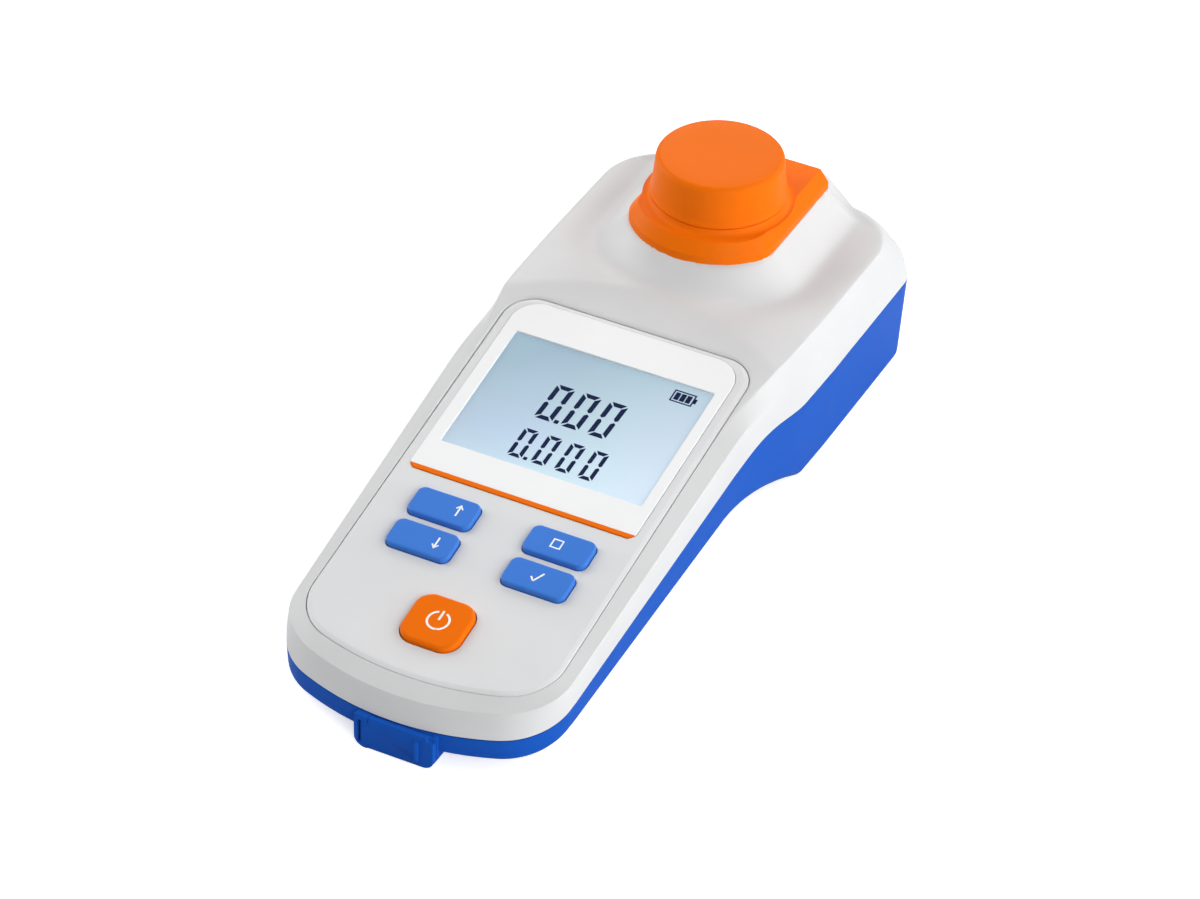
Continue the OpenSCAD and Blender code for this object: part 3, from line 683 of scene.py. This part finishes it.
belly_rings = [edge_ring(0.2, -0.3), edge_ring(0.02, -0.5)]
for step in range(7):
    turned = math.radians(15 * step)
    belly_rings.append(belly_ring(1 - math.cos(turned), 1 - math.sin(turned)))
inner_rings = [edge_ring(WALL, -0.3), belly_ring(0, 1, WALL), belly_ring(0.3, 0.3, WALL),
               belly_ring(1, 0, WALL)]
case_blue = plastic("case_blue", (0.008, 0.087, 0.455), 0.42, grain=0.08, shine=0.04)
points, faces = shell(belly_rings, inner_rings, False, under_at,
                      lambda x, y: under_at(x, y) + WALL)
lower = add_piece("lower_shell", points, faces, case_blue, "case")

# Screw posts and the wells below them, then the foot block, and the port cover on its hinge: the
# cover lies between two ears, EAR_H high, and turns about a knuckle in a rounded hollow
CASE_SCREWS = [(side * x, y) for x, y in ((32.0, 92.0), (35.0, 34.0), (29.5, -88.0))
               for side in (-1, 1)]
POST_R, SCREW_WELL_R = 4.2, 3.1
FOOT_X, FOOT_W, FOOT_H, FOOT_DEPTH = 1.8, 23.2, 10.3, 15.6
COVER_Y, COVER_T, KNUCKLE_R, KNUCKLE_GAP, EAR_H = FOOT_Y + 0.4, 1.5, 1.4, 0.25, 1.6
HINGE_X, HINGE_Y = FOOT_X - FOOT_W / 2 + 2.65, FOOT_Y + 0.4 + KNUCKLE_R
RECESS_Y = COVER_Y + 1.7


def foot_line(g):
    """Front outline of the foot block: square at the top, round at the lower corners."""
    line = slab(FOOT_W / 2 - g, FOOT_W / 2 - g, g, FOOT_H - g, 3.2 - g, 0.6)
    return [(x + FOOT_X, z) for x, z in line]


def along_y(solid_points):
    """Points drawn on a front view, x across and z up, with their depth third."""
    return [(x, y, z) for x, z, y in solid_points]


def box(x0, x1, y0, y1, z0, z1):
    """A square block between three pairs of limits."""
    return prism([(x0, y0), (x1, y0), (x1, y1), (x0, y1)], z0, z1)


foot_points, foot_faces = prism(foot_line(0), COVER_Y, COVER_Y + FOOT_DEPTH)
posts = [cylinder(x, y, POST_R, under_at(0, y) + 1, part_at(y) - 0.3) for x, y in CASE_SCREWS]
cut(lower, *joined((along_y(foot_points), foot_faces), *posts), operation="UNION")
ear_edge = [(HINGE_X + x, HINGE_Y + y) for x, y in arc(0.9, -0.9, 0.5, -90, 0, 6)]
points, faces = prism([(HINGE_X, FOOT_Y - 1)] + ear_edge
                      + [(HINGE_X + KNUCKLE_R, RECESS_Y), (HINGE_X + FOOT_W, RECESS_Y),
                         (HINGE_X + FOOT_W, FOOT_Y - 1)], -1, FOOT_H)
cut(lower, points, faces)
hollow_edge = [(HINGE_X + x, HINGE_Y + y)
               for x, y in arc(0, 0, KNUCKLE_R + KNUCKLE_GAP, 12, 180, 12)]
points, faces = prism([(HINGE_X - KNUCKLE_R - KNUCKLE_GAP, FOOT_Y - 1),
                       (HINGE_X + FOOT_W, FOOT_Y - 1), (HINGE_X + FOOT_W, RECESS_Y)]
                      + hollow_edge, EAR_H, FOOT_H - EAR_H)
cut(lower, points, faces)
DOOR_Y = FACE_Y - 40.9
DOOR_HALF_W, DOOR_HALF_L, DOOR_T = 22.8, 31.8, 1.25
GRIP_SLOPE = math.atan(GRIP_RISE)


def on_grip(points):
    """Points drawn flat on the grip's underside, moved into place."""
    c, d = math.cos(GRIP_SLOPE), math.sin(GRIP_SLOPE)
    return [(x, DOOR_Y + s * c - n * d, grip_under(DOOR_Y) + s * d + n * c) for x, s, n in points]


recess = prism(slab(23, 23, -32, 32, 2, 2), -3, 1.3)
opening = prism(slab(19, 19, -28, 28, 2, 2), -3, 12)
port = box(FOOT_X - 5, FOOT_X + 5, FOOT_Y - 1, FOOT_Y + 15, FOOT_H / 2 - 2.4, FOOT_H / 2 + 2.4)
wells = [cylinder(x, y, SCREW_WELL_R, -1, part_at(y) - 4) for x, y in CASE_SCREWS]
cut(lower, *joined(port, (on_grip(recess[0]), recess[1]), *wells))
cut(lower, on_grip(opening[0]), opening[1])
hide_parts("lower_case")

# Face plate
# A light grey plastic inlay glued into the pocket of the top face: a broad soft bevel round its
# rim, an opening for the display panel and one for each key.
def inlay(name, rims, place, material, body, sharp=SHARP):
    """A plate from outlines that can be offset: each rim has its outline and its edge profile."""
    work = bmesh.new()
    ends = ([], [])
    for line, profile in rims:
        rows = []
        for g, n in profile:
            spots = place([(x, y, n) for x, y in line(g)])
            rows.append([work.verts.new([c * MM for c in spot]) for spot in spots])
        for low, high in zip(rows, rows[1:]):
            for i in range(len(low)):
                j = (i + 1) % len(low)
                work.faces.new((low[i], low[j], high[j], high[i]))
        for end, row in zip(ends, (rows[0], rows[-1])):
            for i in range(len(row)):
                j = (i + 1) % len(row)
                end.append(work.edges.get((row[i], row[j])))
    for end in ends:
        bmesh.ops.triangle_fill(work, edges=end, use_beauty=True, use_dissolve=False)
    bmesh.ops.recalc_face_normals(work, faces=work.faces)
    mesh = bpy.data.meshes.new(name)
    work.to_mesh(mesh)
    work.free()
    mesh.materials.append(material)
    piece = put(name, mesh)
    even(piece, sharp)
    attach(piece, body)
    return piece


def rounded(n0, n1, r, steps=4):
    """Edge profile of a plate from n0 up to n1, its upper edge rounded to radius r."""
    turned = [math.radians(90 * i / steps) for i in range(steps + 1)]
    return [(0, n0)] + [(0 - r * (1 - math.cos(t)), n1 - r * (1 - math.sin(t))) for t in turned]


def hole(n0, n1, r=0.12):
    """Edge profile of a hole through a plate, its upper edge eased outward."""
    turned = [math.radians(45 * i) for i in range(3)]
    return [(0, n0)] + [(r * (1 - math.cos(t)), n1 - r * (1 - math.sin(t))) for t in turned]


STRIP_HALF, STRIP_TOP, STRIP_FOOT = 33.3, PANEL_S0 - 0.1, PANEL_S0 - 1.5


def strip_line(g):
    """Outline of the orange strip, its lower corners cut at a slant."""
    corners = [(-STRIP_HALF + 1.4 - g, STRIP_FOOT - g), (STRIP_HALF - 1.4 + g, STRIP_FOOT - g),
               (STRIP_HALF + g, STRIP_TOP), (-STRIP_HALF - g, STRIP_TOP)]
    return [(x - PANEL_SHIFT, s) for x, s in corners]


def display_line(g):
    """Opening for the panel and the strip below it."""
    panel = panel_line(0.15 + g)
    return panel[12:39] + [(-33.7 - g, STRIP_TOP), (-32.25 - g, PANEL_S0 - 1.65 - g),
                           (31.65 + g, PANEL_S0 - 1.65 - g), (33.1 + g, STRIP_TOP)]


plate_grey = plastic("plate_grey", (0.680, 0.684, 0.692), 0.48, grain=0.12, shine=0.3)
PLATE_FOOT = -1.2
plate_edge = [(0, PLATE_FOOT), (0, -0.62), (-0.08, -0.46), (-0.3, -0.34), (-0.9, -0.13),
              (-1.25, -0.03), (-1.5, 0)]
plate_rims = [(plate_line, plate_edge), (display_line, hole(PLATE_FOOT, 0))]
plate_rims += [(lambda g, k=k: key_line(k, KEY_GAP + g), hole(PLATE_FOOT, 0)) for k in KEYS]
plate = inlay("face_plate", plate_rims, on_face, plate_grey, "case")
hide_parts("faceplate")

# Display panel, window and strip
# A semi-gloss white plastic bezel pressed into the plate's opening, almost flush with it, round a
# clear acrylic window; an orange strip closes its lower edge.
PANEL_PROUD = 0.2
panel_white = plastic("panel_white", (0.86, 0.865, 0.87), 0.30, grain=0.03, grain_size=0.5,
                      spread=0.01, shine=0.3)
panel_rims = [(panel_line, rounded(PLATE_FOOT, PANEL_PROUD, 0.14)),
              (lambda g: lcd_line(g, 0.6 + g), hole(PLATE_FOOT, PANEL_PROUD, 0.1))]
panel = inlay("display_bezel", panel_rims, on_face, panel_white, "case")
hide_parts("display_panel")
orange = plastic("orange", (0.83, 0.154, 0.003), 0.38, grain=0.05, spread=0.015, shine=0.04)
strip = inlay("accent_line", [(strip_line, rounded(PLATE_FOOT, 0.25, 0.15))], on_face, orange,
              "case")
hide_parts("accent_strip")

window_clear = bpy.data.materials.new("window_clear")
window_clear.use_nodes = True
pane = window_clear.node_tree
pane_shader = pane.nodes["Principled BSDF"]
pane_shader.inputs["Base Color"].default_value = (0.05, 0.06, 0.08, 1)
pane_shader.inputs["Roughness"].default_value = 0.12
pane_shader.inputs["Alpha"].default_value = 0.04
pane_ripple = pane.nodes.new("ShaderNodeTexNoise")
pane_ripple.inputs["Scale"].default_value = 90
pane_bump = pane.nodes.new("ShaderNodeBump")
pane_bump.inputs["Strength"].default_value = 0.03
pane_bump.inputs["Distance"].default_value = 0.0002
pane.links.new(pane_ripple.outputs["Fac"], pane_bump.inputs["Height"])
pane.links.new(pane_bump.outputs["Normal"], pane_shader.inputs["Normal"])
window_rims = [(lambda g: lcd_line(g - 0.05, 0.6), rounded(-0.35, 0.14, 0.06, 2))]
window = inlay("display_glass", window_rims, on_face, window_clear, "case")
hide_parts("display_window")

# Display
# A liquid crystal cell, pale blue with a cloudy teal corner, given a painted glow that lifts it to
# the display's brightness; it shows a large and a small reading of zeros and a full battery in dark
# blue segments.
lcd_blue_painted_glow = bpy.data.materials.new("lcd_blue_painted_glow")
lcd_blue_painted_glow.use_nodes = True
cell = lcd_blue_painted_glow.node_tree
cell_shader = cell.nodes["Principled BSDF"]
cell_shader.inputs["Roughness"].default_value = 0.4
cell_shader.inputs["Specular IOR Level"].default_value = 0.2
# Painted light: this emission makes the cell glow brighter than the lamps alone would light it
cell_shader.inputs["Emission Strength"].default_value = 0.74
cell_place = cell.nodes.new("ShaderNodeTexCoord")
cell_spread = cell.nodes.new("ShaderNodeMapping")
cell_spread.vector_type = "TEXTURE"
cell_spread.inputs["Location"].default_value = (-0.012, 0.012, 0)
cell_spread.inputs["Rotation"].default_value = (0, 0, math.radians(-58))
cell_spread.inputs["Scale"].default_value = (0.052, 0.052, 1)
cell_run = cell.nodes.new("ShaderNodeTexGradient")
cell_tones = cell.nodes.new("ShaderNodeValToRGB")
cell_tones.color_ramp.elements[0].position = 0.0
cell_tones.color_ramp.elements[0].color = (0.25, 0.345, 0.42, 1)
cell_tones.color_ramp.elements[1].position = 1.0
cell_tones.color_ramp.elements[1].color = (0.465, 0.56, 0.64, 1)
cell_cloud = cell.nodes.new("ShaderNodeTexNoise")
cell_cloud.inputs["Scale"].default_value = 28
cell_cloud.inputs["Detail"].default_value = 1
cell_tint = cell.nodes.new("ShaderNodeMix")
cell_tint.data_type = "RGBA"
cell_tint.blend_type = "MULTIPLY"
cell_tint.inputs["Factor"].default_value = 0.14
cell.links.new(cell_place.outputs["Object"], cell_spread.inputs["Vector"])
cell.links.new(cell_place.outputs["Object"], cell_cloud.inputs["Vector"])
cell.links.new(cell_spread.outputs["Vector"], cell_run.inputs["Vector"])
cell.links.new(cell_run.outputs["Fac"], cell_tones.inputs["Fac"])
cell.links.new(cell_tones.outputs["Color"], cell_tint.inputs[6])
cell.links.new(cell_cloud.outputs["Color"], cell_tint.inputs[7])
cell.links.new(cell_tint.outputs[2], cell_shader.inputs["Base Color"])
cell.links.new(cell_tint.outputs[2], cell_shader.inputs["Emission Color"])
LCD_TOP = -0.45
screen_rims = [(lambda g: lcd_line(0.7 + g, 0.8), rounded(-3.3, LCD_TOP, 0.1, 2))]
screen = inlay("lcd_cell", screen_rims, on_face, lcd_blue_painted_glow, "case")
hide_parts("lcd")
segment_ink = plastic("segment_ink", (0.004, 0.012, 0.060), 0.5, grain=0.02, shine=0.05)


def zero(x, s, w, h, t, lean):
    """The six bars of a leaning zero whose lower left corner is (x, s), t thick."""
    gap, half = 0.16 * t, t / 2
    bars = (
        [(gap + 0.2 * t, h), (w - gap - 0.2 * t, h), (w - gap - t, h - t), (gap + t, h - t)],
        [(gap + 0.2 * t, 0), (gap + t, t), (w - gap - t, t), (w - gap - 0.2 * t, 0)],
        [(0, h - 0.2 * t - gap), (t, h - t - gap), (t, h / 2 + half + gap),
         (half, h / 2 + gap), (0, h / 2 + half)],
        [(0, 0.2 * t + gap), (0, h / 2 - half), (half, h / 2 - gap),
         (t, h / 2 - half - gap), (t, t + gap)],
        [(w, h - 0.2 * t - gap), (w, h / 2 + half), (w - half, h / 2 + gap),
         (w - t, h / 2 + half + gap), (w - t, h - t - gap)],
        [(w, 0.2 * t + gap), (w - t, t + gap), (w - t, h / 2 - half - gap),
         (w - half, h / 2 - gap), (w, h / 2 - half)])
    return [[(x + px + lean * py, s + py) for px, py in bar] for bar in bars]


def oblong(x0, x1, s0, s1):
    """A plain rectangle."""
    return [(x0, s0), (x1, s0), (x1, s1), (x0, s1)]


def frame_bars(x0, x1, s0, s1, t):
    """A rectangular line, t thick."""
    return [oblong(x0, x1, s0, s0 + t), oblong(x0, x1, s1 - t, s1),
            oblong(x0, x0 + t, s0 + t, s1 - t), oblong(x1 - t, x1, s0 + t, s1 - t)]


# The large reading of three figures, the small one of four, then the battery with its knob
LARGE_S, SMALL_S = -7.1, -22.05
segments = []
for i in range(3):
    segments += zero(-11.35 + 7.95 * i, LARGE_S, 5.4, 13.2, 1.42, 0.06)
segments.append(oblong(-5.4, -5.4 + 1.3, LARGE_S, LARGE_S + 1.3))
for i in range(4):
    segments += zero(-11.65 + 6.98 * i, SMALL_S, 4.3, 10.6, 1.18, 0.03)
segments.append(oblong(-6.85, -6.85 + 1.1, SMALL_S, SMALL_S + 1.1))
segments += frame_bars(19.3, 25.8, 12.6, 16.9, 0.42)
segments.append(oblong(25.8, 26.5, 13.9, 15.6))
for i in range(3):
    segments.append(oblong(20.1 + 1.7 * i, 21.5 + 1.7 * i, 13.4, 16.1))


def printed(name, outlines, place, n0, n1, material, body):
    """Thin printed marks: flat prisms from closed outlines."""
    points, faces = joined(*[prism(outline, n0, n1) for outline in outlines])
    return add_piece(name, place(points), faces, material, body)


printed("lcd_figures", segments, on_face, LCD_TOP - 0.005, LCD_TOP + 0.03, segment_ink, "case")

# Keys
# Four blue rubber keys in two columns and an orange power key, each a rounded block with a soft
# shoulder that stands proud of the plate and slides in its own hole; white printed signs on top.
key_blue = plastic("key_blue", (0.045, 0.185, 0.63), 0.42, grain=0.10, spread=0.03, shine=0.15)
legend_white = plastic("legend_white", (0.88, 0.88, 0.88), 0.5, grain=0.03)
KEY_PROUD = 1.6
for key in KEYS:
    power = key == "key_power"
    flange = [(0.6, -4.2), (0.6, -3.4), (0, -3.4)]
    profile = flange + rounded(-3.3, KEY_PROUD, 1.0 if power else 0.6, 5)
    cap_piece = inlay(key + "_cap", [(lambda g, k=key: key_line(k, g), profile)], on_face,
                      orange if power else key_blue, key)
    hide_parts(key)


def stroke(points, width):
    """A drawn line as a row of overlapping bars."""
    bars = []
    for (x0, s0), (x1, s1) in zip(points, points[1:]):
        length = math.hypot(x1 - x0, s1 - s0)
        ux, us = (x1 - x0) / length, (s1 - s0) / length
        w = width / 2
        bars.append([(x0 - us * w, s0 + ux * w), (x0 + us * w, s0 - ux * w),
                     (x1 + us * w, s1 - ux * w), (x1 - us * w, s1 + ux * w)])
    return bars


def ring_bar(cx, cs, r, width, a0, a1):
    """A drawn part of a circle, from angle a0 to a1."""
    n = 40
    inner = arc(cx, cs, r - width / 2, a0, a1, n)
    outer = arc(cx, cs, r + width / 2, a0, a1, n)
    return [[outer[i], outer[i + 1], inner[i + 1], inner[i]] for i in range(n)]


up_head = [(-13.9, -45.9), (-12.8, -44.5), (-11.7, -45.9), (-12.0, -46.15), (-12.8, -45.25),
           (-13.6, -46.15)]
down_head = [(-13.9, -59.6), (-13.6, -59.35), (-12.8, -60.25), (-12.0, -59.35), (-11.7, -59.6),
             (-12.8, -61.0)]
signs = {"key_up": stroke([(-12.8, -48.6), (-12.8, -45.2)], 0.5) + [up_head],
         "key_down": stroke([(-12.8, -56.9), (-12.8, -60.3)], 0.5) + [down_head],
         "key_stop": frame_bars(14.75, 17.85, -48.3, -45.1, 0.42),
         "key_enter": stroke([(15.2, -59.2), (16.35, -60.5), (18.1, -57.2)], 0.5),
         "key_power": ring_bar(0.2, -82.3, 2.95, 0.6, 112, 428)
         + stroke([(0.2, -82.1), (0.2, -78.9)], 0.62)}
for key, outlines in signs.items():
    printed(key + "_sign", outlines, on_face, KEY_PROUD - 0.005, KEY_PROUD + 0.015, legend_white,
            key)

# Well collar
# An orange ring plate set into the head: round in front, straight at the sides and flat behind,
# with a broad chamfer; a short neck stands in its middle for the cap.
NECK_R, NECK_Z, SEAT_Z = 15.0, COLLAR_Z + 2.6, 61.94


def collar_line(g):
    """Outline of the collar, offset by g."""
    turn_a = math.degrees(math.atan2(COLLAR_CORNER[1], COLLAR_CORNER[0]))
    half = [(COLLAR_SIDE + g, COLLAR_FRONT), (COLLAR_SIDE + g, 12.0), (COLLAR_SIDE + g, 0.0)]
    half += arc(*COLLAR_CORNER, COLLAR_R + g, 0, turn_a, 12)
    half += arc(0, 0, COLLAR_FRONT + g, turn_a, -90, 24)[1:]
    both = half + [(-x, y) for x, y in reversed(half[:-1])]
    return [(x, y + WELL_Y) for x, y in both]


def flat(points):
    """Points that are in place already."""
    return points


def neck_line(g):
    """Outline of the neck, offset by g."""
    return circle(0, WELL_Y, NECK_R + g, 96)


wall_edge = [(-0.3, 49.6), (-0.3, 54.0), (-0.36, 56.4), (-0.42, 56.7), (-0.56, 56.95),
             (-2.6, 59.75), (-2.76, 59.97), (-2.96, 60.12), (-3.25, COLLAR_Z)]
neck_edge = [(-1.85, 49.6), (-1.85, NECK_Z - 0.3), (-1.6, NECK_Z), (-0.3, NECK_Z),
             (0, NECK_Z - 0.3), (0, 62.0), (0.3, SEAT_Z), (3.95, SEAT_Z), (4.12, 61.85),
             (4.25, 61.55), (4.5, 61.0), (4.95, 60.5), (5.6, 60.24), (6.2, COLLAR_Z)]
collar = inlay("collar_ring", [(collar_line, wall_edge), (neck_line, neck_edge)], flat, orange,
               "case", CRISP)
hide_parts("well_collar")

# Light shield cap
# A heavy orange cap, turned in shape: slightly conical wall, soft top edge, a thin bead at its foot
# and a hollow that fits over the neck; a black foam ring under it keeps light out.
CAP_Z, CAP_EDGE, FOOT_Z = 74.1, 1.6, COLLAR_Z + 1.8


def revolve(profile, x, y):
    """Turns a profile of (radius, height) pairs about an upright axis."""
    n = 128
    points, faces, rows = [], [], []
    for r, z in profile:
        if r == 0:
            rows.append([len(points)])
            points.append((x, y, z))
        else:
            rows.append(list(range(len(points), len(points) + n)))
            points += [(px, py, z) for px, py in circle(x, y, r, n)]
    for low, high in zip(rows, rows[1:]):
        for i in range(n):
            j = (i + 1) % n
            corners = tuple(dict.fromkeys((low[i % len(low)], low[j % len(low)],
                                           high[j % len(high)], high[i % len(high)])))
            if len(corners) > 2:
                faces.append(corners)
    return points, faces


# From the hollow's roof down to the foot, up over the bead and the wall, and in along the top
cap_profile = [(0, CAP_Z - 2.4), (14.4, CAP_Z - 2.4), (15.0, CAP_Z - 2.7), (15.4, CAP_Z - 4),
               (15.4, FOOT_Z + 0.2), (15.6, FOOT_Z), (18.85, FOOT_Z), (19.1, FOOT_Z + 0.12),
               (19.22, FOOT_Z + 0.4), (19.18, FOOT_Z + 0.75), (19.02, FOOT_Z + 1.1),
               (18.84, FOOT_Z + 1.5), (18.74, FOOT_Z + 2.0), (18.68, FOOT_Z + 2.6)]
for a in range(5, 91, 8):
    turned = math.radians(a)
    cap_profile.append((16.25 + CAP_EDGE * math.cos(turned),
                        CAP_Z - CAP_EDGE + CAP_EDGE * math.sin(turned)))
cap_profile += [(12, CAP_Z), (6, CAP_Z), (0, CAP_Z)]
points, faces = revolve(cap_profile, 0, WELL_Y)
cap_shell = add_piece("cap_shell", points, faces, orange, "cap", 50)
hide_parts("light_shield_cap")

# Port cover
# A blue flap that makes the front of the foot: a rounded plate with a pull ridge and a small
# finger notch, turning on a steel pin at its left end; the socket sits behind it.
EAR_GAP = 0.08


def cover_line(g):
    """Outline of the cover, a hair inside the foot block's."""
    return foot_line(0.05 - g)


def facing_front(points):
    """Points drawn on the cover's front, n outward from its back."""
    return [(x, COVER_Y + COVER_T - n, z) for x, z, n in points]


cover = inlay("port_flap", [(cover_line, rounded(0, COVER_T, 0.35, 4))], facing_front, case_blue,
              "port_cover")
ears = [box(HINGE_X - 9, HINGE_X + KNUCKLE_R + 0.12, FOOT_Y - 3, FOOT_Y + 4, low, high)
        for low, high in ((-2, EAR_H + EAR_GAP), (FOOT_H - EAR_H - EAR_GAP, FOOT_H + 3))]
notch = box(FOOT_X + FOOT_W / 2 - 2.1, FOOT_X + FOOT_W, FOOT_Y - 3, COVER_Y + 1.1,
            FOOT_H - 1.5, FOOT_H + 3)
cut(cover, *joined(*ears, notch))
points, faces = box(HINGE_X - 9, HINGE_X, FOOT_Y - 3, FOOT_Y + 4, -2, FOOT_H + 3)
cut(cover, points, faces)
knuckle = cylinder(HINGE_X, HINGE_Y, KNUCKLE_R, EAR_H + EAR_GAP, FOOT_H - EAR_H - EAR_GAP)
cut(cover, *knuckle, operation="UNION")
ridge_side = [(FOOT_Y + 0.45, 0.9), (FOOT_Y + 0.15, 1.3), (FOOT_Y, 2.0), (FOOT_Y, FOOT_H - 2.4),
              (FOOT_Y + 0.12, FOOT_H - 1.9), (FOOT_Y + 0.45, FOOT_H - 1.5),
              (FOOT_Y + 1.2, FOOT_H - 1.5), (FOOT_Y + 1.2, 0.9)]
ridge_points, ridge_faces = prism(ridge_side, FOOT_X + 6, FOOT_X + 7.4)
cut(cover, [(x, y, z) for y, z, x in ridge_points], ridge_faces, operation="UNION")
plug = box(FOOT_X - 4.7, FOOT_X + 4.7, COVER_Y + 1, COVER_Y + 2.8,
           FOOT_H / 2 - 2.1, FOOT_H / 2 + 2.1)
cut(cover, *plug, operation="UNION")
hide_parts("port_cover")

# Battery door
# A flat blue plastic lid over the battery pack on the underside of the grip, flush in its recess
# and held by a screw in each corner.
DOOR_SCREWS = [(-21, -22), (21, -22), (-21, 22), (21, 22)]


def door_line(g):
    """Outline of the door, offset by g."""
    return slab(DOOR_HALF_W + g, DOOR_HALF_W + g, -DOOR_HALF_L - g, DOOR_HALF_L + g, 2 + g, 2 + g)


def door_under(points):
    """Points drawn on the door as seen from below, n outward from the recess floor."""
    return on_grip([(x, s, DOOR_T - n) for x, s, n in points])


door_rims = [(door_line, rounded(0, DOOR_T, 0.3, 3))]
door_rims += [(lambda g, x=x, s=s: circle(x, s, 1.5 + g, 32), hole(0, DOOR_T, 0.1))
              for x, s in DOOR_SCREWS]
door = inlay("battery_lid", door_rims, door_under, case_blue, "case")
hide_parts("battery_door")

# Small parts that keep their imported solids
# Glass fibre boards, rubber seals and mat, glass optics, brass springs and steel screws, inside the
# case or deep in their holes, held by the two shells.
board_green = plastic("board_green", (0.03, 0.16, 0.07), 0.42, grain=0.2, grain_size=0.8,
                      spread=0.12)
black_plastic = plastic("black_plastic", (0.012, 0.012, 0.014), 0.5, grain=0.2)
seal_black = plastic("seal_black", (0.01, 0.01, 0.01), 0.75, grain=0.35, grain_size=0.3)
mat_grey = plastic("mat_grey", (0.07, 0.07, 0.08), 0.7, grain=0.25)
white_plastic = plastic("white_plastic", (0.8, 0.8, 0.8), 0.5)
cell_wrap = plastic("cell_wrap", (0.26, 0.28, 0.33), 0.3, grain=0.05, spread=0.06)
led_clear = plastic("led_clear", (0.8, 0.8, 0.6), 0.12, grain=0.02)
filter_glass = plastic("filter_glass", (0.05, 0.35, 0.16), 0.08, grain=0.02)
steel = plastic("steel", (0.52, 0.53, 0.55), 0.3, grain=0.25, grain_size=0.5, spread=0.05)
contact_brass = plastic("contact_brass", (0.7, 0.5, 0.2), 0.32, grain=0.2, spread=0.06)
for metal in (steel, contact_brass):
    metal.node_tree.nodes["Principled BSDF"].inputs["Metallic"].default_value = 1
finishes = {"case_white": case_white, "case_blue": case_blue, "plate_grey": plate_grey,
            "panel_white": panel_white, "window_clear": window_clear, "orange": orange,
            "lcd": lcd_blue_painted_glow, "white_plastic": white_plastic, "key_blue": key_blue,
            "mat_grey": mat_grey, "steel": steel, "board": board_green,
            "black_plastic": black_plastic, "seal_black": seal_black,
            "glass_clear": window_clear, "filter_glass": filter_glass, "led_clear": led_clear,
            "cell_wrap": cell_wrap, "contact_brass": contact_brass}
for subpart in frame["record"]["subparts"]:
    node = frame["nodes"][subpart["node"]]
    node.data.materials.clear()
    node.data.materials.append(finishes[subpart["material_slot"]])
